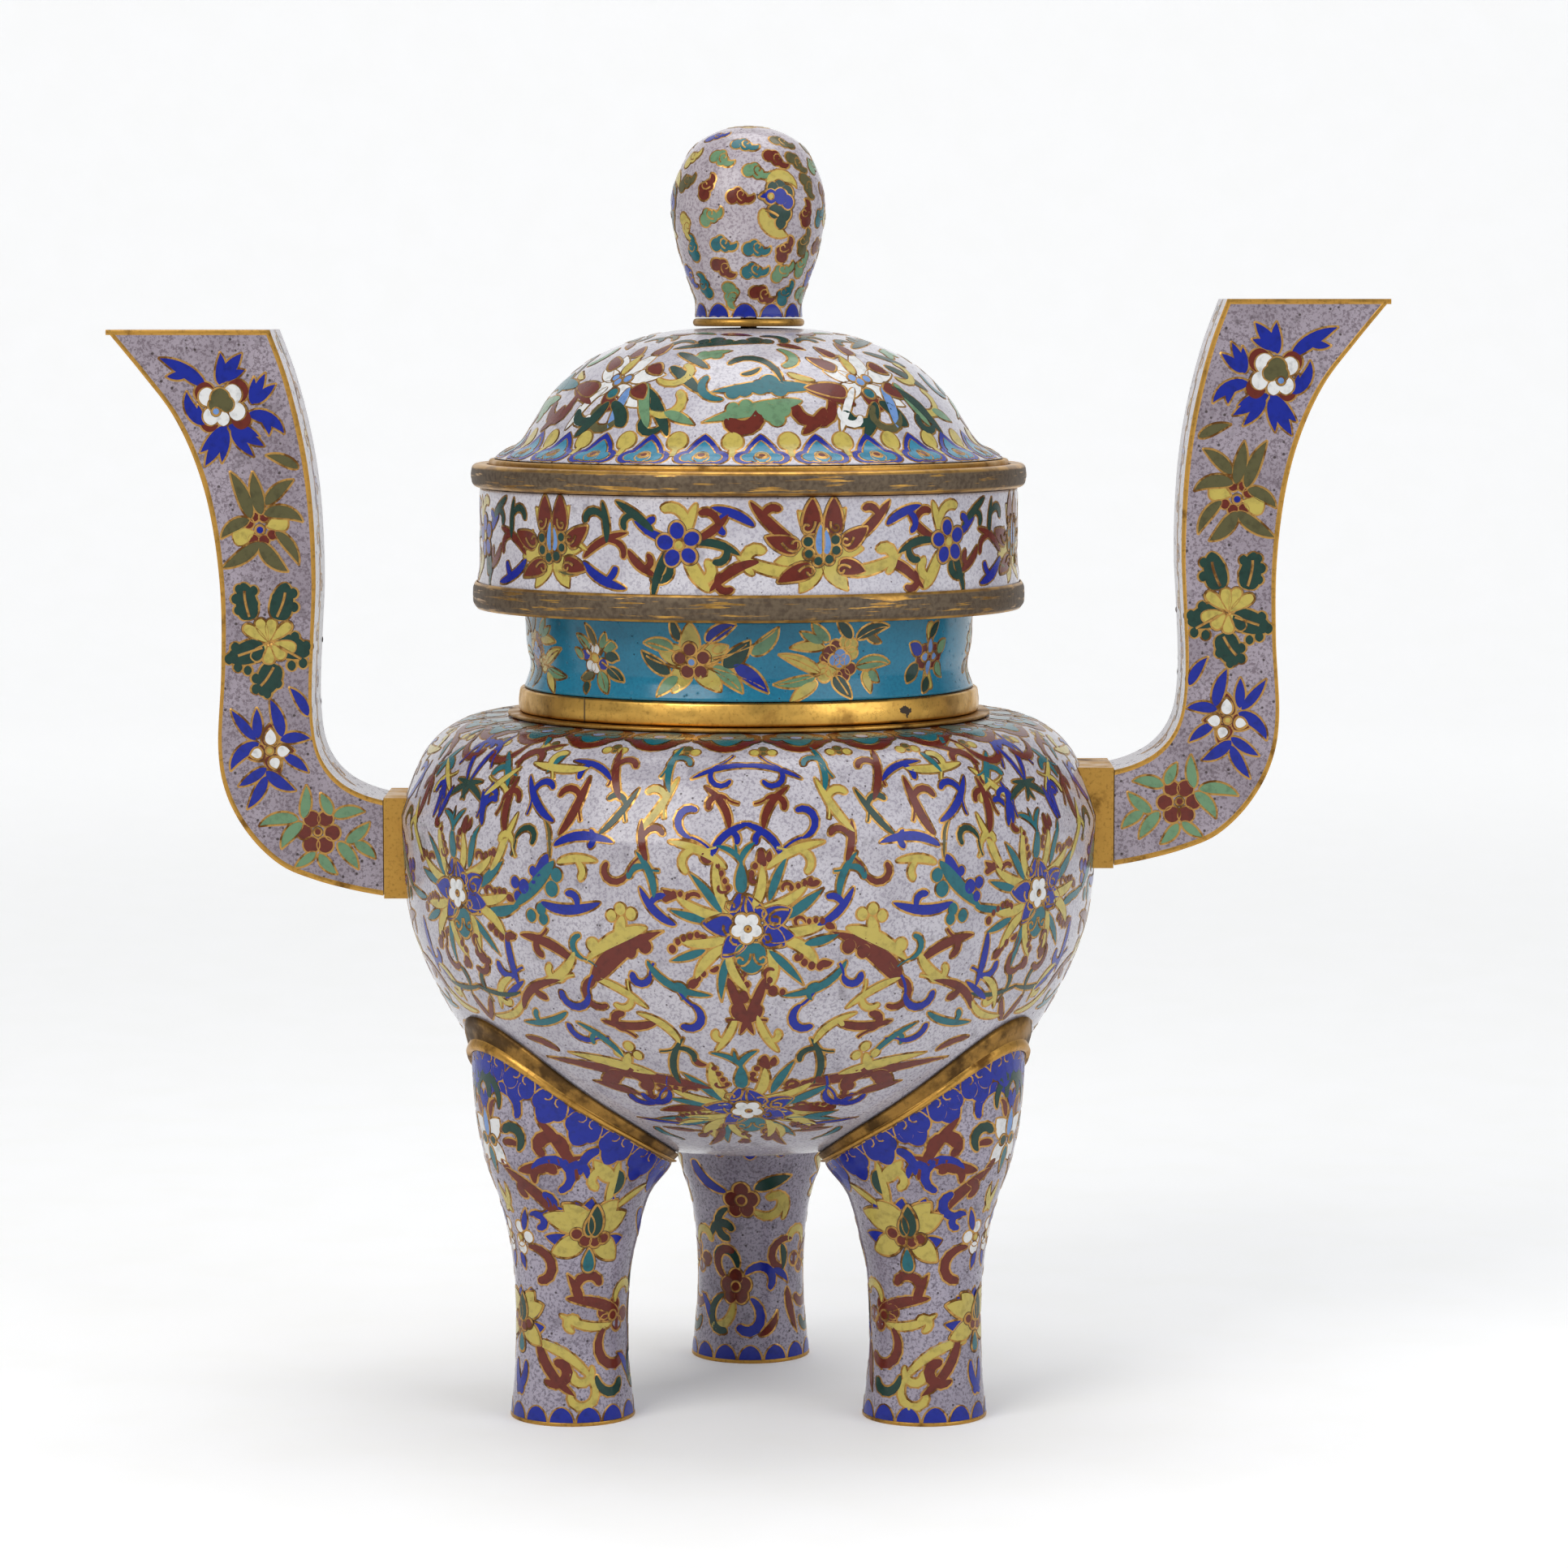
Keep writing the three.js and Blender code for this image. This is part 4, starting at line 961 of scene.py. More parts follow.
# Motifs in millimetres about their own middle
motifs = {
    "cobaltFlower": flower(5, 5.2, 2.3, "cobalt", "yellow"),
    "mouthRuyi": twoDots(5.6, -11.0, 3.4, "ironRed", -1)
    + [cell(0, 0, 270, 19.0, 0, 0, 8.6, "petal", "ironRed", -1),
       cell(0, -1, 270, 15.0, 0, 0, 5.2, "petal", "teal", -2)]
    + twoDots(5.2, -10.4, 2.1, "teal", -2) + twoLines(6.8, -8.0, 300, 9, 60, 420, 2)
    + [dot(0, -9.4, 1.8, "lightBlue", 2)],
    "trefoil": twoDots(2.5, -0.4, 1.5, "yellow") + [dot(0, 1.2, 1.3, "olive"), dot(0, -0.8, 0.9, "olive")],
    "domeRuyi": twoDots(5.2, 3.7, 3.7, "cobalt", -1)
    + [cell(0, 0.0, 90, 13.6, 0, 0, 6.6, "ogee", "cobalt", -1)]
    + twoDots(4.3, 3.5, 2.3, "turquoise", -2)
    + [cell(0, 0.8, 90, 10.4, 0, 0, 4.6, "ogee", "turquoise", -2)]
    + twoLines(1.0, 1.0, 150, 6.5, -60, -420, 2)
    + [dot(0, 4.6, 2.0, "paleGreen", 2), dot(0, 4.4, 1.25, "ironRed", 3)],
    "disc": [cell(0, -7.0, 90, 6.0, 0, 0, 1.1, "stem", "yellow", -1), dot(0, 0, 3.3, "yellow", -1)],
    "legRuyi": twoDots(3.3, -3.5, 2.9, "cobalt", -1)
    + [cell(0, 1.2, 270, 10.6, 0, 0, 4.6, "petal", "cobalt", -1),
       cell(-6.3, -1.2, 0, 12.6, 0, 0, 1.5, "stem", "cobalt", -1)]
    + twoLines(5.8, -2.6, 82, 11.0, -60, -500, 1),
    "legWhite": fan([70, 110, 0, 180, -50, 230, 25, 155], 7.5, 7.5, -60, 200, 1.3, "leaf", "ironRed")
    + petals(4, 1.4, 8.6, 3.2, "leaf", "white", 0, 45)
    + [cell(0, 1, 90, 9, 0, 0, 1.6, "leaf", "lightBlue", 1)]
    + twoDots(2.6, 0, 1.5, "darkGreen", 1) + [cell(0, -2, 270, 8.5, 0, 0, 1.7, "leaf", "teal", 1)],
    "scallop": [cell(0, -3.4, 90, 7.2, 0, 0, 3.9, "petal", "cobalt", -1)],
    "medallion": petals(6, 1.6, 5.4, 2.6, "round", "yellow")
    + petals(6, 1.0, 3.4, 1.5, "round", "ironRed", 1, 60)
    + [dot(0, 0, 1.4, "cobalt", 2)],
    "cloud": [dot(-1.5, -0.2, 2.1, "given", -1), dot(1.4, -0.1, 1.9, "given", -1),
              dot(-0.2, 1.3, 1.6, "given", -1),
              cell(1.8, -0.4, -10, 4.4, 60, 160, 1.2, "leaf", "given", -1),
              cell(1.6, -0.9, 165, 7.0, -90, -560, 0.3, "stem", "line", 1)],
}
print("motifs ready")

# Body ornament: scroll leaves between one head and the next, mirrored about each second head. Heads stand at
# uneven turns, so the turns of the leaves are stretched between them
bodyLeaves = readOff([
    (919, 943, 990, 955, -50, 1.2, "cobalt", "scroll"), (955, 942, 943, 961, -230, 1.1, "cobalt", "hook"),
    (943, 1013, 970, 967, -60, 1.4, "ironRed", "scroll"), (945, 985, 967, 998, -170, 1.2, "ironRed", "hook"),
    (990, 1033, 983, 1000, 210, 1.4, "cobalt", "hook"), (965, 1050, 921, 1010, 75, 1.4, "cobalt", "scroll"),
    (950, 1025, 936, 1040, 150, 1.2, "cobalt", "hook"),
    (955, 1062, 1017, 1033, -40, 1.5, "yellow", "scroll"),
    (978, 1046, 995, 1075, -160, 1.3, "yellow", "hook"),
    (1047, 1017, 1003, 959, -20, 1.4, "yellow", "scroll"),
    (1023, 993, 1045, 978, -170, 1.3, "yellow", "hook"), (1020, 968, 1003, 920, 50, 1.3, "teal", "scroll"),
    (1020, 945, 993, 944, 190, 1.2, "teal", "hook"), (1048, 1055, 1053, 1010, 20, 1.4, "ironRed", "scroll"),
    (1050, 1035, 1026, 1030, 180, 1.2, "ironRed", "hook"),
    (1097, 1022, 1052, 972, -20, 1.3, "darkGreen", "scroll"),
    (1072, 998, 1093, 986, -170, 1.2, "darkGreen", "hook"),
    (1082, 977, 1079, 923, 30, 1.5, "ironRed", "scroll"),
    (1087, 952, 1060, 947, 200, 1.3, "ironRed", "hook"),
    (1092, 955, 1132, 934, -60, 1.3, "cobalt", "scroll"),
    (1108, 940, 1128, 960, -100, 1.2, "cobalt", "hook"),
    (1147, 1020, 1112, 957, -25, 1.7, "ironRed", "scroll"),
    (1128, 993, 1153, 982, -180, 1.3, "ironRed", "hook"),
    (1152, 1035, 1087, 1032, 60, 1.7, "cobalt", "scroll"),
    (1116, 1022, 1118, 1043, 130, 1.3, "cobalt", "hook"),
    (1068, 1074, 1093, 1063, 220, 1.3, "ironRed", "hook"),
    (1150, 1060, 1107, 1058, 40, 1.4, "yellow", "scroll"),
    (1133, 1060, 1130, 1083, 130, 1.3, "yellow", "hook"),
    (1128, 948, 1186, 942, 25, 1.6, "yellow", "scroll"), (1163, 948, 1143, 930, 170, 1.4, "yellow", "hook"),
    (1205, 945, 1178, 938, 210, 1.4, "ironRed", "hook"),
    (1200, 935, 1142, 916, 40, 1.2, "ironRed", "scroll"), (1217, 962, 1215, 925, -20, 1.4, "teal", "scroll"),
    (1213, 950, 1236, 955, -120, 1.3, "teal", "hook"), (1257, 952, 1203, 905, -10, 1.2, "cobalt", "scroll"),
    (1232, 930, 1246, 921, -170, 1.3, "cobalt", "hook"),
    (1168, 1008, 1193, 958, 45, 1.5, "cobalt", "scroll"), (1188, 985, 1161, 973, 180, 1.3, "cobalt", "hook"),
    (1222, 1018, 1207, 958, 50, 1.6, "ironRed", "scroll"),
    (1224, 988, 1205, 988, 200, 1.2, "ironRed", "hook"),
    (1250, 1008, 1235, 962, 40, 1.3, "cobalt", "scroll"), (1250, 990, 1233, 986, 210, 1.2, "cobalt", "hook"),
    (1233, 1065, 1202, 1003, -30, 1.5, "yellow", "scroll"),
    (1211, 1042, 1226, 1037, -200, 1.3, "yellow", "hook"),
    (1208, 1035, 1189, 1040, 230, 1.2, "darkGreen", "hook"),
    (1168, 1015, 1163, 1058, 60, 0.8, "olive", "scroll"),
    (1285, 975, 1247, 960, 40, 1.3, "darkGreen", "scroll"),
    (1262, 960, 1275, 985, 60, 1.1, "darkGreen", "scroll"),
    (1302, 1003, 1284, 968, 0, 1.4, "cobalt", "scroll"), (1297, 985, 1302, 978, -150, 1.2, "cobalt", "hook"),
    (1290, 968, 1291, 933, 0, 1.3, "yellow", "scroll"), (1288, 955, 1309, 975, -70, 1.1, "yellow", "hook"),
    (1262, 912, 1245, 922, -150, 1.5, "ironRed", "hook"), (1247, 898, 1268, 907, -30, 1.1, "teal", "scroll"),
    (1288, 912, 1303, 935, 20, 1.2, "teal", "scroll"), (1036, 1098, 1055, 1048, -50, 1.4, "teal", "scroll"),
    (1043, 1070, 1067, 1083, -130, 1.3, "teal", "hook"),
    (1018, 1137, 1057, 1096, 50, 1.5, "cobalt", "scroll"),
    (1042, 1120, 1021, 1106, 120, 1.3, "cobalt", "hook"),
    (1102, 1207, 1042, 1240, 30, 1.4, "yellow", "scroll"),
    (1066, 1222, 1085, 1236, 170, 1.2, "yellow", "hook"),
    (1113, 1203, 1094, 1237, -200, 1.3, "ironRed", "hook"),
    (1117, 1222, 1150, 1220, 200, 1.6, "cobalt", "hook"),
    (1041, 1200, 1061, 1198, 220, 1.5, "cobalt", "hook"),
    (1040, 1195, 970, 1232, -70, 1.5, "teal", "scroll"), (1003, 1232, 1012, 1214, -170, 1.2, "teal", "hook"),
    (1122, 1182, 1127, 1153, 170, 1.2, "teal", "hook"),
    (1142, 1178, 1200, 1147, -45, 1.8, "ironRed", "scroll"),
    (1176, 1152, 1172, 1177, -150, 1.5, "ironRed", "hook"),
    (1137, 1182, 1174, 1215, 55, 1.7, "yellow", "scroll"),
    (1147, 1205, 1163, 1189, 200, 1.3, "yellow", "hook"),
    (1198, 1233, 1158, 1202, 60, 1.6, "ironRed", "scroll"),
    (1187, 1213, 1168, 1228, -90, 1.5, "ironRed", "hook"),
    (1218, 1158, 1203, 1217, -5, 1.6, "cobalt", "scroll"),
    (1207, 1198, 1228, 1184, 170, 1.5, "cobalt", "hook"),
    (1218, 1205, 1229, 1238, -60, 1.4, "yellow", "scroll"),
    (1229, 1222, 1214, 1231, -180, 1.2, "yellow", "hook"),
    (1249, 1172, 1256, 1190, 190, 1.3, "ironRed", "hook"),
    (1285, 1210, 1248, 1218, -40, 1.1, "darkGreen", "scroll"),
    (1263, 1218, 1276, 1191, -90, 1.1, "darkGreen", "hook"),
    (1278, 1215, 1302, 1188, 0, 1.3, "cobalt", "scroll"),
    (1240, 1252, 1262, 1224, 20, 1.3, "ironRed", "scroll"),
    (1167, 1117, 1103, 1118, -50, 1.8, "cobalt", "scroll"),
    (1133, 1120, 1145, 1103, -170, 1.4, "cobalt", "hook"),
    (1010, 1328, 1008, 1278, 60, 1.3, "darkGreen", "scroll"),
    (1008, 1278, 1053, 1245, -60, 1.4, "yellow", "scroll"),
    (1028, 1257, 1040, 1264, -90, 1.1, "yellow", "hook"),
    (1015, 1293, 988, 1308, 150, 1.2, "darkGreen", "hook"),
    (1040, 1262, 1100, 1261, 50, 1.7, "ironRed", "scroll"),
    (1072, 1270, 1073, 1250, 190, 1.5, "ironRed", "hook"),
    (990, 1237, 1003, 1262, 200, 1.6, "cobalt", "hook"),
    (1080, 1295, 1130, 1257, -40, 1.3, "teal", "scroll"),
    (1103, 1272, 1110, 1286, -120, 1.1, "teal", "hook"),
    (1108, 1280, 1142, 1260, 130, 1.4, "cobalt", "hook"),
    (937, 1258, 960, 1297, 30, 1.4, "yellow", "scroll"), (944, 1280, 958, 1270, 190, 1.2, "yellow", "hook"),
    (942, 1215, 914, 1275, -10, 1.8, "ironRed", "scroll"),
    (932, 1257, 910, 1238, -140, 1.4, "ironRed", "hook"),
    (1030, 1350, 1066, 1347, 170, 1.4, "cobalt", "hook"),
    (1150, 1252, 1195, 1262, 40, 1.4, "teal", "scroll"), (1172, 1262, 1180, 1245, 150, 1.2, "teal", "hook"),
    (1200, 1240, 1230, 1255, 60, 1.3, "yellow", "scroll"),
    (1160, 1290, 1195, 1275, -40, 1.4, "ironRed", "scroll"),
    (1042, 1343, 1068, 1322, -120, 2.4, "ironRed", "hook"), (1056, 1347, 1112, 1331, -10, 1.8, "ironRed"),
    (1019, 1342, 1051, 1346, 200, 1.5, "cobalt", "hook"), (975, 1365, 1030, 1368, -20, 2, "ironRed"),
    (962, 1368, 1008, 1370, 30, 1, "yellow"), (990, 1376, 1036, 1378, 0, 1.2, "teal"),
    (1000, 1384, 1058, 1376, 10, 1, "cobalt"), (975, 1380, 1010, 1386, -40, 1.2, "yellow"),
    (952, 1388, 972, 1410, 40, 1.5, "ironRed"), (985, 1393, 1026, 1388, 10, 1.1, "ironRed"),
    (1012, 1400, 1034, 1388, 60, 1.2, "teal", "hook"), (955, 1383, 962, 1402, -60, 1.4, "yellow"),
    (1075, 1322, 1102, 1334, -20, 2.6, "ironRed"),
], onTurned(bodyLine))
bodyLarge = readOff([
    (1024, 1147, 1112, 1208, -38, 3.2, "ironRed", "club"), (1045, 1143, 1122, 1186, -34, 2.3, "yellow"),
    (1080, 1152, 1075, 1128, 0, 1.9, "yellow", "scroll"), (1065, 1126, 1.9, "yellow"),
    (1078, 1120, 1.9, "yellow"), (1089, 1128, 1.8, "yellow"), (1112, 1164, 2.2, "yellow"),
    (1048, 1166, 2.3, "ironRed"), (1066, 1172, 2.2, "ironRed"), (1112, 1203, 1119, 1218, 20, 1.6, "ironRed"),
    (1160, 1060, 1214, 1120, 20, 2.3, "teal"), (1157, 1078, 2.2, "teal"), (1163, 1095, 2.5, "teal"),
    (1176, 1120, 2, "teal"), (1173, 1132, 1.9, "teal"), (1188, 1128, 2, "teal"),
    (1168, 1052, 1190, 1098, 10, 2.2, "cobalt"), (1197, 1092, 2.3, "cobalt"), (1208, 1087, 1.9, "cobalt"),
    (1205, 1104, 1.7, "cobalt"), (1186, 1073, 1.6, "cobalt"),
    (1208, 1118, 1240, 1121, 20, 1.4, "teal", "scroll"), (965, 1341, 1165, 1302, -10, 2.4, "ironRed"),
    (1035, 1323, 1142, 1296, -10, 2, "yellow"), (1072, 1315, 1068, 1297, 0, 1.7, "yellow", "scroll"),
    (1057, 1300, 1.7, "yellow"), (1068, 1289, 1.8, "yellow"), (1080, 1297, 1.7, "yellow"),
    (1048, 1338, 1.9, "ironRed"), (1086, 1330, 2, "ironRed"),
], onTurned(bodyLine))
headRays = readOff([
    (908, 1062, 908, 1102, 0, 2, "teal", "club"), (908, 1064, 881, 1044, 70, 1.1, "teal", "scroll"),
    (907, 1064, 922, 1041, -60, 1.1, "teal", "scroll"), (903, 1060, 901, 1040, 0, 0.7, "teal"),
    (886, 1127, 846, 1077, 15, 1.5, "teal"), (872, 1136, 822, 1122, -10, 1.5, "teal"),
    (866, 1170, 822, 1185, -10, 1.5, "teal"), (893, 1176, 883, 1238, 25, 1.5, "teal"),
    (940, 1170, 984, 1216, -10, 1.5, "teal"), (982, 1163, 1025, 1151, 20, 1.6, "teal"),
    (958, 1133, 1004, 1097, 5, 1.8, "teal"), (940, 1112, 962, 1056, -15, 1.5, "teal"),
    (892, 1124, 874, 1064, -50, 1.6, "yellow", "scroll"),
    (890, 1131, 832, 1112, -50, 1.7, "yellow", "scroll"),
    (886, 1158, 838, 1164, -40, 1.7, "yellow", "scroll"),
    (884, 1168, 850, 1204, 45, 1.8, "yellow", "scroll"), (892, 1178, 912, 1224, 50, 1.6, "yellow", "scroll"),
    (940, 1170, 948, 1214, -60, 1.7, "yellow", "scroll"),
    (962, 1158, 1000, 1184, -60, 1.9, "yellow", "scroll"),
    (960, 1149, 1008, 1141, 35, 1.7, "yellow", "scroll"),
    (938, 1120, 985, 1097, 50, 1.6, "yellow", "scroll"), (924, 1116, 935, 1070, 50, 1.6, "yellow", "scroll"),
    (881, 1070, 1, "ironRed"), (885, 1079, 1, "ironRed"), (889, 1088, 1, "ironRed"),
    (893, 1096, 1, "ironRed"), (874, 1064, 866, 1056, -160, 1.2, "ironRed", "hook"),
    (893, 1098, 883, 1093, -200, 0.8, "ironRed", "hook"), (846, 1106, 1, "ironRed"),
    (837, 1104, 1, "ironRed"), (829, 1104, 1.1, "ironRed"),
    (843, 1113, 860, 1108, -150, 0.9, "ironRed", "hook"), (834, 1108, 815, 1098, -30, 1.3, "ironRed"),
    (832, 1108, 817, 1113, 60, 1.2, "ironRed", "hook"), (856, 1152, 1.1, "ironRed"),
    (848, 1154, 1.1, "ironRed"), (840, 1157, 1.1, "ironRed"), (833, 1161, 1.1, "ironRed"),
    (826, 1170, 1.4, "ironRed"), (857, 1156, 863, 1159, -220, 0.9, "ironRed", "hook"),
    (862, 1200, 1.2, "ironRed"), (855, 1206, 1.3, "ironRed"),
    (870, 1195, 878, 1190, 140, 1.1, "ironRed", "hook"), (848, 1214, 1.6, "ironRed"),
    (856, 1209, 842, 1220, 30, 1.6, "ironRed"), (908, 1207, 1.2, "ironRed"), (914, 1214, 1.2, "ironRed"),
    (911, 1232, 1.8, "ironRed"), (904, 1234, 1.2, "ironRed"), (912, 1222, 908, 1238, 10, 1.7, "ironRed"),
    (910, 1205, 901, 1192, 170, 0.9, "ironRed", "hook"), (942, 1208, 1.2, "ironRed"),
    (939, 1216, 1.2, "ironRed"), (946, 1222, 1.8, "ironRed"),
    (938, 1207, 947, 1196, -190, 0.9, "ironRed", "hook"), (958, 1224, 1.2, "ironRed"),
    (974, 1180, 1.2, "ironRed"), (983, 1186, 1.3, "ironRed"), (992, 1190, 1.4, "ironRed"),
    (1002, 1191, 1.4, "ironRed"), (1000, 1186, 1018, 1186, 60, 1.5, "ironRed"),
    (972, 1182, 978, 1175, 160, 0.9, "ironRed", "hook"), (987, 1136, 1, "ironRed"),
    (995, 1135, 1, "ironRed"), (1003, 1136, 1.1, "ironRed"), (1006, 1140, 1019, 1146, -20, 1.4, "ironRed"),
    (983, 1139, 974, 1140, 260, 0.8, "ironRed", "hook"), (966, 1096, 1, "ironRed"),
    (974, 1094, 1, "ironRed"), (982, 1091, 1.1, "ironRed"), (988, 1088, 1.1, "ironRed"),
    (985, 1092, 998, 1088, 60, 1.2, "ironRed", "hook"), (968, 1098, 957, 1099, 220, 0.8, "ironRed", "hook"),
    (929, 1063, 1.1, "ironRed"), (924, 1070, 1.1, "ironRed"), (920, 1079, 1.1, "ironRed"),
    (934, 1068, 930, 1050, -60, 1.5, "ironRed", "scroll"),
    (922, 1080, 925, 1088, 200, 0.9, "ironRed", "hook"), (939, 1066, 941, 1051, 0, 1.2, "ironRed"),
], onFlat("head"))
headPetals = readOff([
    (908, 1136, 905, 1102, 20, 3.6, "cobalt", "ogee"), (926, 1136, 914, 1104, -10, 3.6, "cobalt", "ogee"),
    (898, 1143, 862, 1138, 10, 3.2, "cobalt", "ogee"), (936, 1136, 966, 1121, -10, 3.4, "cobalt", "ogee"),
    (936, 1146, 970, 1153, 20, 3, "cobalt", "ogee"), (930, 1150, 959, 1165, -30, 3.4, "cobalt", "ogee"),
    (908, 1151, 885, 1179, -20, 3.2, "cobalt", "ogee"), (918, 1161, 920, 1199, 0, 4.6, "teal", "petal"),
], onFlat("head"))
headCurls = readOff([
    (909, 1104, 899, 1119, -400, 0.3, "line", "curl"), (915, 1104, 925, 1120, 330, 0.3, "line", "curl"),
    (866, 1137, 888, 1140, -340, 0.3, "line", "curl"), (963, 1122, 945, 1131, 420, 0.3, "line", "curl"),
    (956, 1163, 936, 1160, -420, 0.3, "line", "curl"), (886, 1176, 903, 1163, 380, 0.3, "line", "curl"),
    (919, 1174, 910, 1183, -360, 0.3, "line", "curl"), (922, 1174, 930, 1182, 360, 0.3, "line", "curl"),
], onFlat("head"))
mouthBorder = {"count": 26, "start": 3, "ruyi": 222.5, "trefoil": 203.8}
bodyHeads = {"turns": {-54: 154.2, 0: 148.7, 54: 154.2, 117: 148.7, 180: 154.2, 242: 148.7},
             "lowTurns": {0: 54, 117: 63, 242: 63}, "lowHeight": 82, "lowSize": 1.02, "leavesReach": 54}


# The thin stem that a scroll leaf grows from: a third of its length, back along its heading and bending the
# other way
def stemOf(row):
    turn, height, heading, length, turning, half, tone = row[:7]
    reach, start = 0.38 * length, heading + math.copysign(28, turning)
    way = math.radians(heading + math.copysign(14, turning))
    radius = float(np.interp(height, runOf(bodyLine), bodyLine[:, 0]))
    return (turn - math.degrees(reach * math.cos(way) / radius), height - reach * math.sin(way), start,
            reach * 1.08, -math.copysign(28, turning), 0.45 * half, tone, "stem")


def bodyOrnament():
    head = tracedMotif(headRays) + tracedMotif(headPetals, 1) + tracedMotif(headCurls, 2)
    head += petals(5, 1.0, 3.6, 2.1, "round", "white", -4, 54)
    head += [dot(0, 0, 2.4, "white", -4), dot(0.4, -0.3, 0.6, "ironRed", 5)]
    placed = [place(head, turn, height) for turn, height in bodyHeads["turns"].items()]
    stems = [stemOf(row) for row in bodyLeaves if row[3] > 8 and row[7] in ("leaf", "hook")]
    for middle, reach in bodyHeads["lowTurns"].items():
        placed.append(place(head, middle, bodyHeads["lowHeight"], size=bodyHeads["lowSize"]))
        for flip, sign in ((False, 1), (True, -1)):
            turnOf = lambda turn: middle + sign * turn * reach / bodyHeads["leavesReach"]
            placed += [tracedOn(rows, turnOf, flip) for rows in (stems, bodyLeaves, bodyLarge)]
    count = mouthBorder["count"]
    for turn in mouthBorder["start"] + 360 * np.arange(count) / count:
        placed += [place(motifs["mouthRuyi"], turn + 180 / count, mouthBorder["ruyi"]),
                   place(motifs["trefoil"], turn, mouthBorder["trefoil"])]
    addOrnament("body", turnedSurface(bodyLine), placed, "vessel")


bodyOrnament()

# Dome ornament: four lotuses with a long leaf between each two, over a border of cloud lappets. The leaves
# after the readings fill the upper part, where the photograph hardly shows them, with turns and heights
# listed one by one
domeLeaves = readOff([
    (1022, 486, 984, 498, -220, 2.2, "ironRed", "hook"),
    (1016, 508, 993, 536, -20, 1.8, "ironRed", "scroll"), (1006, 478, 876, 484, 20, 2.6, "teal"),
    (893, 492, 874, 464, -150, 1.6, "teal", "hook"), (905, 484, 2.5, "teal"), (919, 481, 2.6, "teal"),
    (938, 477, 3, "teal"), (950, 471, 3.2, "teal"), (962, 480, 2.8, "teal"),
    (990, 494, 870, 521, 10, 2.6, "paleGreen"), (905, 504, 2.3, "paleGreen"), (921, 500, 2.3, "paleGreen"),
    (942, 503, 2.5, "paleGreen"), (951, 509, 3, "paleGreen"), (959, 516, 2.7, "paleGreen"),
    (966, 504, 2.8, "paleGreen"), (936, 504, 902, 515, -190, 2.8, "ironRed", "hook"),
    (812, 466, 846, 450, 220, 1.6, "yellow", "hook"), (797, 480, 797, 528, 15, 2, "paleGreen", "scroll"),
    (802, 506, 837, 483, 200, 1.7, "yellow", "hook"), (820, 508, 857, 524, -15, 1.9, "paleGreen"),
    (774, 484, 751, 528, -10, 1.9, "lightBlue", "scroll"), (768, 509, 743, 500, -230, 1.6, "olive", "hook"),
    (742, 483, 698, 529, 20, 1.5, "white", "scroll"), (718, 500, 728, 511, 210, 1.5, "white", "hook"),
    (976, 462, 1004, 470, 40, 1.3, "yellow", "scroll"),
], onTurned(domeLine)) + [
    (10.6, 33, 92, 25.5, 150, 1.5, "darkGreen", "hook"), (-1, 36.6, -8, 6, 60, 1.1, "darkGreen", "scroll"),
    (-32.5, 51, 24, 33, -34, 1.8, "darkGreen", "leaf"), (-20, 43.6, 42, 13.5, -30, 2.3, "paleGreen", "leaf"),
    (-17, 47.4, 0, 0, 0, 1.9, "paleGreen", "dot"), (-11.6, 46.4, 0, 0, 0, 2, "paleGreen", "dot"),
    (12.4, 51, -38, 13.5, -130, 1.6, "paleGreen", "hook"),
    (13.5, 54.6, -14, 8.5, -40, 1.6, "ironRed", "leaf"), (-21.5, 57, 0, 0, 0, 2, "darkGreen", "dot"),
    (-15.6, 58.6, 0, 0, 0, 2.4, "darkGreen", "dot"), (-9.8, 57, 0, 0, 0, 2, "darkGreen", "dot"),
    (-2.4, 56.9, 0, 0, 0, 2, "darkGreen", "dot"), (3.4, 58.8, 0, 0, 0, 2.4, "darkGreen", "dot"),
    (9.2, 57.2, 0, 0, 0, 2, "darkGreen", "dot"), (7, 62, 18, 11.5, -170, 1.4, "darkGreen", "hook"),
    (24, 56, 78, 10.5, -190, 1.3, "darkGreen", "hook"),
    (-25.5, 55.5, 128, 10.5, 170, 1.3, "darkGreen", "hook"), (-40, 57.5, 96, 9.5, 150, 1.3, "olive", "hook"),
    (-16, 64.5, 8, 9.5, -40, 1.6, "ironRed", "leaf"), (-36, 65.5, 18, 8.5, -60, 1.4, "paleGreen", "leaf"),
    (30, 64, -20, 9, 80, 1.5, "ironRed", "leaf"),
]
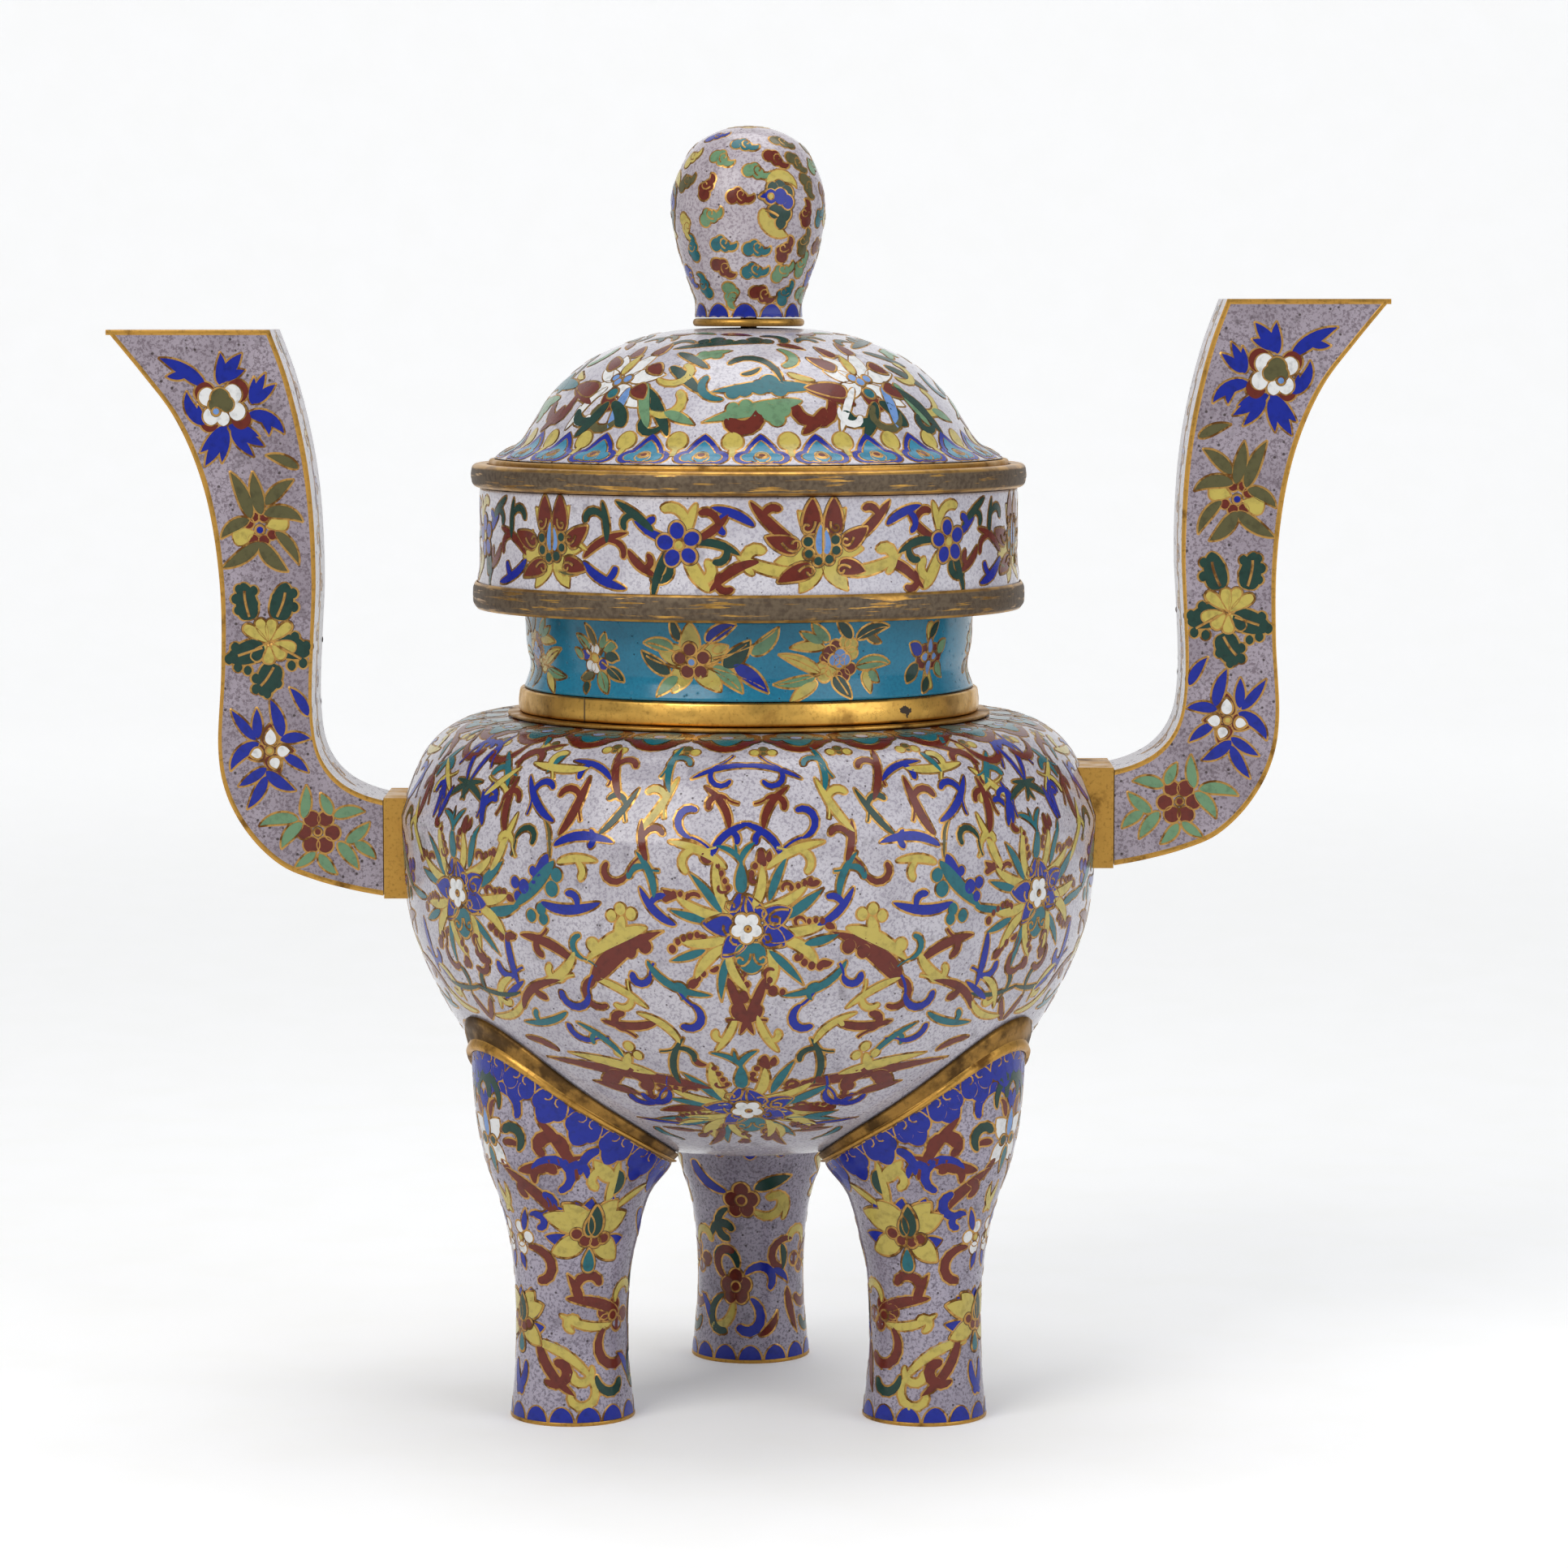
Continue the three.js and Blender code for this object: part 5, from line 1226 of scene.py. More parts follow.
domeLotus = readOff([
    (1053, 469, 1003, 439, 15, 2.8, "white", "leaf", 0), (1058, 466, 1046, 436, -10, 3, "white", "leaf", 0),
    (1064, 467, 1096, 461, -20, 3.2, "white", "leaf", 0), (1062, 475, 1110, 501, 10, 3, "white", "leaf", 0),
    (1054, 474, 1019, 495, 10, 3.2, "white", "leaf", 0),
    (1050, 468, 1008, 457, -10, 2.6, "white", "leaf", 0), (1024, 441, 999, 428, 0, 2, "ironRed", "ogee", 1),
    (1045, 438, 1026, 424, 0, 2.1, "ironRed", "ogee", 1),
    (1025, 455, 988, 441, -10, 2.5, "ironRed", "ogee", 1),
    (1038, 484, 985, 478, 15, 3, "ironRed", "ogee", 1),
    (1066, 449, 1090, 461, 10, 2.4, "ironRed", "ogee", 1),
    (1084, 475, 1108, 491, 0, 2.7, "ironRed", "ogee", 1),
    (1056, 484, 1084, 500, 40, 3, "ironRed", "club", 0), (1048, 462, 1029, 438, 0, 1.6, "yellow", "leaf", 1),
    (1045, 466, 1.5, "lightBlue", 1), (1055, 471, 1.5, "lightBlue", 1), (1063, 467, 1.6, "lightBlue", 1),
    (1066, 485, 2, "teal", 1), (1078, 496, 1109, 526, -70, 2.4, "darkGreen", "hook"),
    (1073, 502, 1062, 541, -15, 2.1, "darkGreen", "scroll"),
    (1066, 516, 1037, 506, -150, 2, "darkGreen", "hook"),
    (1104, 482, 1157, 533, -30, 2.1, "darkGreen", "scroll"),
    (1146, 521, 1128, 512, -220, 1.6, "darkGreen", "hook"),
    (1094, 454, 1139, 481, -20, 2, "darkGreen", "scroll"),
    (1068, 436, 1112, 452, -20, 1.7, "darkGreen", "scroll"),
    (1040, 496, 985, 480, 0, 1.6, "ironRed", "scroll"),
], onTurned(domeLine))
domeBorder = {"count": 26, "start": 3.4, "lappet": 0.6, "disc": 11.6, "lotuses": [-43, 37, 130, 224, 317],
              "leavesRead": -43, "leavesReach": 80, "lotusRead": 35.2}


def domeOrnament():
    placed = []
    for middle, after in zip(domeBorder["lotuses"][:-1], domeBorder["lotuses"][1:]):
        reach = (after - middle) / domeBorder["leavesReach"]
        turnOf = lambda turn: middle + (turn - domeBorder["leavesRead"]) * reach
        placed += [tracedOn(domeLeaves, turnOf),
                   tracedOn(domeLotus, lambda turn: after + turn - domeBorder["lotusRead"])]
    for turn in domeBorder["start"] + 360 * np.arange(domeBorder["count"]) / domeBorder["count"]:
        placed += [place(motifs["domeRuyi"], turn, domeBorder["lappet"]),
                   place(motifs["disc"], turn + 180 / domeBorder["count"], domeBorder["disc"])]
    addOrnament("dome", turnedSurface(domeLine), placed, "cover")


domeOrnament()

# Dish band ornament: six lotuses and six round flowers in turn, with scroll leaves mirrored in every other
# gap
drumLeaves = readOff([
    (728, 680, 776, 653, -40, 1.4, "ironRed", "scroll"), (752, 667, 771, 688, -140, 1.2, "ironRed", "hook"),
    (781, 684, 812, 712, 45, 1.5, "ironRed", "scroll"), (789, 698, 801, 684, 200, 1.3, "ironRed", "hook"),
    (752, 662, 747, 617, 20, 1.4, "darkGreen", "scroll"),
    (749, 642, 726, 644, 180, 1.4, "darkGreen", "hook"),
    (804, 649, 763, 616, 15, 1.6, "darkGreen", "scroll"),
    (788, 637, 776, 652, 180, 1.3, "darkGreen", "hook"), (838, 668, 784, 645, -40, 1.5, "cobalt", "scroll"),
    (801, 659, 812, 640, -110, 1.4, "cobalt", "hook"), (851, 655, 820, 629, 140, 1.6, "yellow", "hook"),
    (852, 654, 862, 620, -20, 1.5, "yellow", "scroll"), (866, 664, 904, 636, 40, 1.5, "ironRed", "scroll"),
    (889, 656, 866, 634, 150, 1.4, "ironRed", "hook"), (928, 643, 882, 623, 30, 1.6, "cobalt", "scroll"),
    (905, 633, 899, 657, 170, 1.4, "cobalt", "hook"), (866, 668, 917, 680, -55, 1.5, "darkGreen", "scroll"),
    (896, 668, 883, 691, -170, 1.4, "darkGreen", "hook"), (930, 693, 877, 725, 50, 1.7, "ironRed", "scroll"),
    (892, 706, 907, 724, 190, 1.4, "ironRed", "hook"), (838, 670, 804, 734, 60, 1.7, "darkGreen", "scroll"),
    (806, 712, 828, 696, 160, 1.5, "darkGreen", "hook"), (853, 690, 877, 730, 30, 2.1, "yellow", "scroll"),
    (861, 714, 873, 694, 200, 1.7, "yellow", "hook"), (728, 700, 774, 729, 40, 1.7, "cobalt", "scroll"),
    (746, 720, 763, 698, 50, 1.4, "cobalt", "hook"), (978, 666, 927, 620, -25, 1.8, "ironRed", "scroll"),
    (945, 641, 966, 630, -150, 1.4, "ironRed", "hook"), (984, 706, 912, 690, -40, 1.9, "yellow", "scroll"),
    (934, 708, 946, 682, -210, 1.8, "yellow", "hook"), (712, 660, 727, 680, 60, 0.9, "yellow", "scroll"),
    (696, 706, 728, 702, 50, 0.8, "olive", "scroll"),
], onTurned(dishLine))
dishLotus = [
    (0, [
        (1012, 670, 984, 629, 25, 2.9, "yellow"), (1020, 670, 1046, 626, -25, 2.9, "yellow"),
        (1010, 678, 955, 692, -15, 2.8, "yellow"), (1022, 678, 1070, 677, -10, 3, "yellow"),
        (1011, 684, 986, 730, -20, 3.1, "yellow"), (1021, 684, 1048, 728, 20, 3.1, "yellow"),
        (1016, 688, 1016, 640, 0, 4.4, "yellow", "club"),
    ]),
    (1, [
        (1002, 658, 1003, 613, -5, 3, "ironRed", "ogee"), (1029, 658, 1030, 612, 5, 3, "ironRed", "ogee"),
        (984, 674, 944, 661, -15, 2.7, "ironRed", "ogee"),
        (1043, 672, 1075, 650, 10, 2.7, "ironRed", "ogee"),
        (1002, 701, 959, 717, 25, 2.6, "ironRed", "ogee"),
        (1037, 698, 1072, 705, -20, 2.5, "ironRed", "ogee"),
    ]),
    (2, [
        (997, 667, 1.5, "darkGreen"), (998, 682, 1.5, "darkGreen"), (1010, 691, 1.5, "darkGreen"),
        (1024, 689, 1.5, "darkGreen"), (1033, 678, 1.5, "darkGreen"), (1032, 665, 1.5, "darkGreen"),
        (1012, 683, 1013, 645, 0, 1.5, "lightBlue"), (1021, 683, 1020, 652, 0, 1.4, "lightBlue"),
    ]),
    (3, [
        (1006, 642, 998, 648, -330, 0.3, "line", "curl"), (1026, 642, 1031, 648, 330, 0.3, "line", "curl"),
        (964, 668, 977, 670, 330, 0.3, "line", "curl"), (1056, 662, 1048, 666, -330, 0.3, "line", "curl"),
        (985, 704, 996, 704, -330, 0.3, "line", "curl"), (1052, 700, 1043, 702, 330, 0.3, "line", "curl"),
        (1016, 690, 1016, 650, 0, 0.3, "line", "curl"),
    ]),
]


dishBorder = {"count": 6, "lotus": -44.4, "lotusRead": -44, "lotusHeight": 20.4, "flower": 30.5,
              "flowerHeight": 20.6}


def drumOrnament():
    placed = []
    drumLotus = sum((tracedMotif(readOff(rows, onFlat("dishLotus")), layer) for layer, rows in dishLotus), [])
    apart = 360 / dishBorder["count"]
    for k in range(dishBorder["count"]):
        middle = dishBorder["lotus"] + apart * k
        fromLotus = lambda turn: turn - dishBorder["lotusRead"]
        turnOf = lambda turn: middle + (apart - fromLotus(turn) if k % 2 else fromLotus(turn))
        placed += [tracedOn(drumLeaves, turnOf, bool(k % 2)),
                   place(drumLotus, middle, dishBorder["lotusHeight"]),
                   place(motifs["cobaltFlower"], middle + dishBorder["flower"], dishBorder["flowerHeight"],
                         spin=8)]
    addOrnament("drum", turnedSurface(dishLine), placed, "neck_section")


drumOrnament()

# Neck ornament: separate flowers with pairs of leaves
neckReadings = {
    "broad": [
        (830, 800, 790, 794, 25, 2, "paleGreen"), (824, 832, 787, 804, -25, 2.2, "darkGreen"),
        (834, 836, 808, 862, 25, 2, "paleGreen"), (880, 822, 917, 856, -30, 2.3, "paleGreen"),
        (906, 820, 949, 856, -20, 2.4, "cobalt"), (893, 822, 926, 789, 25, 2.8, "darkGreen"),
        (928, 806, 961, 773, 35, 2.2, "paleGreen"), (872, 790, 909, 770, -30, 2.2, "cobalt"),
        (838, 790, 828, 762, -20, 1.5, "darkGreen"), (835, 806, 796, 794, 20, 0.3, "line", "curl", 1),
        (840, 826, 793, 810, -20, 0.3, "line", "curl", 1), (864, 820, 912, 850, -25, 0.3, "line", "curl", 1),
        (862, 820, 944, 850, -20, 0.3, "line", "curl", 1), (870, 821, 922, 794, 20, 0.3, "line", "curl", 1),
        (880, 812, 957, 777, 30, 0.3, "line", "curl", 1), (862, 806, 904, 772, -20, 0.3, "line", "curl", 1),
        (851, 812, 851, 767, 5, 3.1, "yellow", "leaf", 0),
        (858, 812, 899, 796, 20, 3.1, "yellow", "leaf", 0),
        (856, 822, 890, 854, -20, 3.1, "yellow", "leaf", 0),
        (849, 822, 828, 856, 15, 3.1, "yellow", "leaf", 0),
        (846, 813, 810, 798, -15, 3.1, "yellow", "leaf", 0),
        (880, 803, 899, 796, 0, 1.3, "ironRed", "leaf", 0),
        (876, 842, 890, 854, 0, 1.3, "ironRed", "leaf", 0),
        (835, 846, 828, 856, 0, 1.2, "ironRed", "leaf", 0), (851, 801, 2, "ironRed", 1),
        (868, 811, 2, "ironRed", 1), (864, 829, 2, "ironRed", 1), (847, 829, 2, "ironRed", 1),
        (838, 812, 2, "ironRed", 1), (853, 817, 1.2, "lightBlue", 2),
    ],
    "tumbled": [
        (1016, 792, 972, 792, 20, 1.6, "yellow"), (1014, 786, 985, 772, -10, 1.5, "paleGreen"),
        (1022, 784, 1000, 760, -20, 1.7, "paleGreen"), (1052, 782, 1032, 758, 20, 1.8, "darkGreen"),
        (1060, 782, 1108, 768, -40, 1.9, "darkGreen"), (1074, 776, 1096, 788, 30, 1.3, "olive"),
        (1062, 818, 1112, 815, -40, 2.2, "paleGreen"), (1080, 824, 1096, 838, 10, 1.7, "paleGreen"),
        (1074, 824, 1080, 852, -20, 1.7, "yellow"), (1012, 824, 958, 800, 20, 1.8, "yellow"),
        (1006, 830, 952, 838, -20, 1.7, "paleGreen"), (1008, 836, 972, 862, 20, 1.8, "yellow"),
        (1030, 830, 1052, 858, -20, 2.3, "darkGreen"), (1012, 824, 966, 803, 20, 0.3, "line", "curl", 1),
        (1012, 826, 958, 838, -15, 0.3, "line", "curl", 1),
        (1062, 816, 1106, 815, -35, 0.3, "line", "curl", 1),
        (1060, 783, 1104, 769, -35, 0.3, "line", "curl", 1),
        (1030, 824, 1048, 853, -15, 0.3, "line", "curl", 1), (1024, 799, 2.3, "ironRed", 0),
        (1031, 790, 1.8, "ironRed", 0), (1018, 806, 1.7, "ironRed", 0), (1044, 786, 1.8, "yellow", 0),
        (1052, 790, 2.1, "yellow", 0), (1054, 800, 1.8, "yellow", 0), (1044, 828, 2.1, "ironRed", 0),
        (1053, 820, 1.8, "ironRed", 0), (1036, 828, 1.4, "ironRed", 0), (1014, 818, 1.9, "yellow", 0),
        (1018, 827, 2.2, "yellow", 0), (1027, 822, 1.9, "yellow", 0), (1030, 808, 1.8, "lightBlue", 1),
        (1044, 808, 1.8, "lightBlue", 1), (1037, 802, 1.9, "lightBlue", 1), (1037, 812, 1.7, "lightBlue", 1),
    ],
    "small": [
        (726, 800, 702, 782, 20, 1.5, "paleGreen"), (735, 796, 718, 768, 30, 1.3, "olive"),
        (748, 800, 770, 796, -50, 2, "paleGreen"), (744, 798, 752, 778, 20, 1.4, "paleGreen"),
        (752, 812, 772, 812, -80, 1.9, "darkGreen"), (750, 826, 778, 840, -30, 1.8, "darkGreen"),
        (738, 828, 756, 856, 10, 2.1, "paleGreen"), (728, 830, 704, 838, -30, 1.6, "olive"),
        (716, 842, 720, 858, 0, 1.4, "darkGreen"), (712, 812, 698, 800, 20, 1.3, "paleGreen"),
        (726, 799, 1.8, "white", 0), (735, 800, 1.8, "white", 0), (724, 822, 1.9, "white", 0),
        (732, 824, 1.7, "white", 0), (724, 812, 712, 802, 10, 1.9, "cobalt", "leaf", 0),
        (740, 814, 751, 826, -10, 2.1, "cobalt", "leaf", 0), (733, 811, 1.2, "yellow", 1),
        (742, 808, 762, 788, -30, 0.3, "line", "curl", 1), (744, 816, 772, 838, -20, 0.3, "line", "curl", 1),
        (728, 806, 708, 786, 10, 0.3, "line", "curl", 1), (736, 818, 750, 850, 10, 0.3, "line", "curl", 1),
    ],
    "oval": [
        (1132, 806, 1110, 792, 20, 2.2, "cobalt"), (1130, 820, 1108, 842, 20, 2.4, "darkGreen"),
        (1168, 806, 1186, 790, -20, 2, "paleGreen"), (1168, 818, 1184, 838, 20, 1.8, "paleGreen"),
        (1150, 786, 1168, 766, -30, 1.6, "darkGreen"), (1150, 836, 1132, 856, -30, 1.6, "darkGreen"),
        (1140, 810, 3.9, "ironRed", 0), (1160, 810, 3.9, "ironRed", 0),
        (1150, 800, 1150, 766, 0, 2, "yellow", "club", 0), (1150, 820, 1150, 852, 0, 2, "yellow", "club", 0),
        (1150, 806, 1150, 786, 0, 1.2, "lightBlue", "leaf", 1),
        (1150, 814, 1150, 834, 0, 1.2, "lightBlue", "leaf", 1),
        (1146, 810, 1134, 810, 0, 1.3, "lightBlue", "leaf", 1),
        (1154, 810, 1166, 810, 0, 1.3, "lightBlue", "leaf", 1), (1150, 810, 0.8, "ironRed", 2),
    ],
}
neckFlowers = {name: readOff(rows, onFlat(name)) for name, rows in neckReadings.items()}
neckHeight = 12.0
neckPlaces = [(-98, "oval", False, 0.95), (-70, "tumbled", True, 0.95), (-42, "small", False, 1.0),
              (-14, "broad", False, 1.0), (23.6, "tumbled", False, 1.0), (53, "oval", False, 1.0),
              (84, "small", True, 1.0), (115, "broad", True, 1.0), (148, "tumbled", True, 0.95),
              (178, "small", False, 1.0), (205, "broad", False, 0.95), (236, "oval", True, 0.9)]


def neckOrnament():
    placed = [place(tracedMotif(neckFlowers[name]), turn, neckHeight, size=size, flip=flip)
              for turn, name, flip, size in neckPlaces]
    addOrnament("neck", turnedSurface(neckLine), placed, "neck_section")


neckOrnament()

# Leg ornament: mirrored about the way that the leg faces, under a border that follows the collar
legLeaves = readOff([
    (750, 1482, 762, 1436, -20, 1.5, "yellow", "scroll"), (755, 1449, 738, 1463, 240, 1.5, "yellow", "hook"),
    (757, 1454, 733, 1429, -20, 2.4, "yellow"), (758, 1460, 764, 1429, 0, 1.3, "yellow"),
    (763, 1484, 797, 1457, -20, 1.2, "yellow", "scroll"), (640, 1442, 722, 1423, 10, 2.2, "ironRed"),
    (698, 1428, 668, 1414, 200, 1.8, "ironRed", "hook"), (656, 1440, 690, 1467, -230, 1.7, "cobalt", "hook"),
    (655, 1493, 668, 1471, 210, 1.7, "cobalt", "hook"), (654, 1497, 663, 1511, -250, 1.5, "cobalt", "hook"),
    (646, 1516, 648, 1488, 0, 1.4, "cobalt"), (641, 1511, 2, "white", 0), (632, 1524, 2, "white", 0),
    (652, 1524, 2, "white", 0), (645, 1537, 2, "white", 0), (643, 1524, 0.9, "yellow", 1),
    (652, 1536, 664, 1576, -210, 1.8, "ironRed", "hook"), (643, 1542, 649, 1564, 0, 1.4, "cobalt"),
    (756, 1612, 700, 1597, 30, 1.9, "ironRed", "scroll"),
    (716, 1604, 738, 1584, -230, 1.7, "ironRed", "hook"), (718, 1604, 700, 1569, 10, 1.5, "ironRed"),
    (745, 1616, 2.4, "ironRed", 0), (757, 1607, 2.4, "ironRed", 0), (767, 1618, 2.4, "ironRed", 0),
    (760, 1630, 2.4, "ironRed", 0), (747, 1628, 2.4, "ironRed", 0), (755, 1620, 1.5, "ironRed", 1),
    (746, 1634, 766, 1664, 210, 1.8, "ironRed", "hook"),
    (745, 1634, 690, 1624, -50, 1.5, "yellow", "scroll"),
    (708, 1641, 712, 1629, -250, 1.4, "yellow", "hook"),
    (664, 1652, 732, 1692, -60, 1.7, "yellow", "scroll"),
    (729, 1683, 708, 1690, -230, 1.5, "yellow", "hook"), (722, 1694, 704, 1718, -250, 1.5, "yellow", "hook"),
    (664, 1655, 702, 1723, 50, 1.8, "ironRed", "scroll"), (672, 1700, 684, 1681, 250, 2, "ironRed", "hook"),
    (735, 1694, 762, 1696, 190, 1.7, "darkGreen", "hook"),
    (649, 1676, 638, 1712, -70, 1.7, "cobalt", "hook"), (758, 1604, 772, 1592, -210, 1.5, "yellow", "hook"),
], onLeg("left")) + readOff([
    (1241, 1394, 1209, 1378, 240, 1.8, "cobalt", "hook"),
    (1206, 1418, 1222, 1396, -220, 1.8, "darkGreen", "hook"),
    (1136, 1442, 1179, 1375, -25, 1.9, "ironRed", "scroll"),
    (1154, 1406, 1172, 1422, -230, 1.8, "ironRed", "hook"),
    (1129, 1448, 1106, 1418, 90, 1.7, "cobalt", "hook"),
    (1121, 1452, 1142, 1446, -210, 1.6, "cobalt", "hook"),
    (1156, 1496, 1216, 1438, -20, 2.1, "ironRed", "scroll"),
    (1184, 1458, 1162, 1447, 200, 1.9, "ironRed", "hook"),
    (1192, 1458, 1194, 1471, -230, 1.7, "ironRed", "hook"),
    (1092, 1470, 1088, 1446, -170, 1.7, "darkGreen", "hook"), (1219, 1490, 1223, 1456, -60, 1.4, "yellow"),
    (1257, 1358, 1242, 1352, 230, 1.8, "darkGreen", "hook"),
], onLeg("right"), -1)
legLotusRead = readOff([
    (728, 1516, 683, 1500, 20, 3.5, "yellow", "leaf", -2),
    (728, 1528, 689, 1546, -20, 3.5, "yellow", "leaf", -2),
    (744, 1530, 774, 1556, 0, 3.5, "yellow", "leaf", -2),
    (746, 1516, 778, 1500, -10, 3.3, "yellow", "leaf", -2),
    (730, 1510, 706, 1485, 15, 3.2, "yellow", "leaf", -2),
    (745, 1508, 764, 1483, -15, 3.2, "yellow", "leaf", -2),
    (736, 1540, 736, 1496, 0, 5.9, "yellow", "petal", -2), (704, 1506, 692, 1483, 0, 2.4, "cobalt", "ogee"),
    (722, 1497, 715, 1475, 0, 2.2, "cobalt", "ogee"), (729, 1496, 734, 1471, 0, 2.2, "cobalt", "ogee"),
    (708, 1537, 672, 1529, 0, 2.5, "cobalt", "ogee"), (766, 1514, 782, 1498, 0, 2.3, "cobalt", "ogee"),
    (764, 1540, 788, 1534, 0, 2.4, "cobalt", "ogee"), (756, 1494, 764, 1470, 0, 2.2, "cobalt", "ogee"),
    (719, 1522, 1.7, "ironRed", 3), (730, 1531, 1.8, "ironRed", 3), (743, 1533, 1.8, "ironRed", 3),
    (754, 1529, 1.7, "ironRed", 3), (742, 1526, 741, 1484, 0, 2.2, "darkGreen", "leaf", 4),
    (734, 1525, 735, 1498, 0, 1.5, "darkGreen", "leaf", 4),
    (736, 1542, 736, 1573, 0, 2.1, "teal", "club", 2),
], onFlat("legLotus"))
# The yellow petals are drawn longer than they were read, and the blue ones closer in
lotusShift = {"yellow": (1, 1.12), "cobalt": (0.84, 1)}
legLotus = []
for row in legLotusRead:
    pull, stretch = lotusShift.get(row[6], (1, 1))
    legLotus.append((row[0] * pull, row[1] * pull, row[2], row[3] * stretch, *row[4:]))


def legSurface(legTurn):
    def radiusAt(turn, height):
        share = (height - legForm["foot"]) / (collarBottom(turn) - 0.3 - legForm["foot"])
        return legRadius(np.clip(share, 0, 1), turn)

    return {"point": lambda turn, height: aboutLeg(radiusAt(turn, height), turn, height, legTurn),
            "scale": radiusAt}


# Inner side of a leg: two red flowers among scrolls, with x from the middle of that side
legInside = [
    (-1.8, 28.6, 52, 17, -200, 1.8, "cobalt", "hook"), (0, 21, -30, 19, -215, 2, "cobalt", "hook"),
    (-6.2, 20, -86, 14, -120, 1.6, "yellow", "hook"), (-9.6, 22, -160, 19, 190, 1.7, "darkGreen", "hook"),
    (-9, 27.5, 152, 16, -205, 1.7, "ironRed", "hook"), (-4.6, 30.5, 84, 15, 200, 1.8, "darkGreen", "hook"),
    (16.5, 39.5, 160, 19, 220, 1.6, "ironRed", "hook"), (11.5, 38.5, -60, 10, -60, 1.5, "darkGreen", "leaf"),
    (14.5, 24, -84, 16, 20, 1.8, "ironRed", "leaf"), (8, 30.2, -8, 9, -60, 1.5, "cobalt", "leaf"),
    (-7.4, 56, 165, 15, -70, 1.9, "cobalt", "hook"), (1.2, 50, -46, 17, 215, 1.7, "yellow", "hook"),
    (11.4, 46.5, 60, 14, 170, 1.6, "yellow", "hook"), (1.4, 57.2, 24, 12, -10, 2.3, "darkGreen", "leaf"),
    (-7.2, 50.6, -160, 15, 170, 1.7, "darkGreen", "hook"), (-15, 40, 84, 13, -160, 1.7, "darkGreen", "hook"),
    (-15.5, 13, 100, 11, 60, 1.6, "cobalt", "leaf"), (3, 9, 20, 11, 60, 1.5, "ironRed", "leaf"),
    (-8.3, 25.4, 0, 0, 0, 2.6, "ironRed", "dot", -2), (-2.1, 25.4, 0, 0, 0, 2.6, "ironRed", "dot", -2),
    (-7, 21.8, 0, 0, 0, 2.5, "ironRed", "dot", -2), (-3.2, 21.8, 0, 0, 0, 2.5, "ironRed", "dot", -2),
    (-5.2, 28, 0, 0, 0, 2.6, "ironRed", "dot", -2), (-5.2, 24.8, 0, 0, 0, 1.5, "ironRed", "dot", 3),
    (-5.8, 53.7, 0, 0, 0, 2.5, "ironRed", "dot", -2), (0.2, 53.7, 0, 0, 0, 2.5, "ironRed", "dot", -2),
    (-4.7, 50.4, 0, 0, 0, 2.4, "ironRed", "dot", -2), (-1, 50.4, 0, 0, 0, 2.4, "ironRed", "dot", -2),
    (-2.8, 56.7, 0, 0, 0, 2.5, "ironRed", "dot", -2), (-2.8, 53.4, 0, 0, 0, 1.5, "ironRed", "dot", 3),
]


legBorder = {"apart": 12.3, "under": 0.4, "scallops": 14, "scallopHeight": 1.9, "white": 88,
             "lowLotus": (32, 0.85), "sideLotus": (77, 60)}


def legOrnament(name, legTurn):
    lotusCells = tracedMotif(legLotus)
    height, size = legBorder["lowLotus"]
    placed = [place(motifs["legWhite"], 0, legBorder["white"]), place(lotusCells, 0, height, size=size),
              place(tracedMotif(legInside), 180, 0)]
    beside, height = legBorder["sideLotus"]
    for flip, sign in ((False, 1), (True, -1)):
        placed += [tracedOn(legLeaves, lambda turn: sign * turn, flip),
                   place(lotusCells, sign * beside, height)]
    around = np.linspace(0, 2 * math.pi, 721)
    edge = np.stack([legForm["top"] * around, collarBottom(around)], axis=-1)
    total = runOf(edge)[-1]
    count = round(total / legBorder["apart"])
    for reach in total * (np.arange(count) + 0.5) / count:
        turn, level = np.interp(reach, runOf(edge), around), np.interp(reach, runOf(edge), edge[:, 1])
        rise = float(collarBottom(np.float64(turn + 0.05)) - collarBottom(np.float64(turn - 0.05)))
        tilt = math.degrees(math.atan2(rise, 0.1 * legForm["top"]))
        placed.append(place(motifs["legRuyi"], math.degrees(turn), level - legBorder["under"], spin=tilt))
    scallops = legBorder["scallops"]
    placed += [place(motifs["scallop"], 360 * k / scallops, legBorder["scallopHeight"])
               for k in range(scallops)]
    addOrnament(name, legSurface(legTurn), placed, "vessel")


for side, legTurn in legForm["turns"].items():
    legOrnament("leg" + side.capitalize(), legTurn)

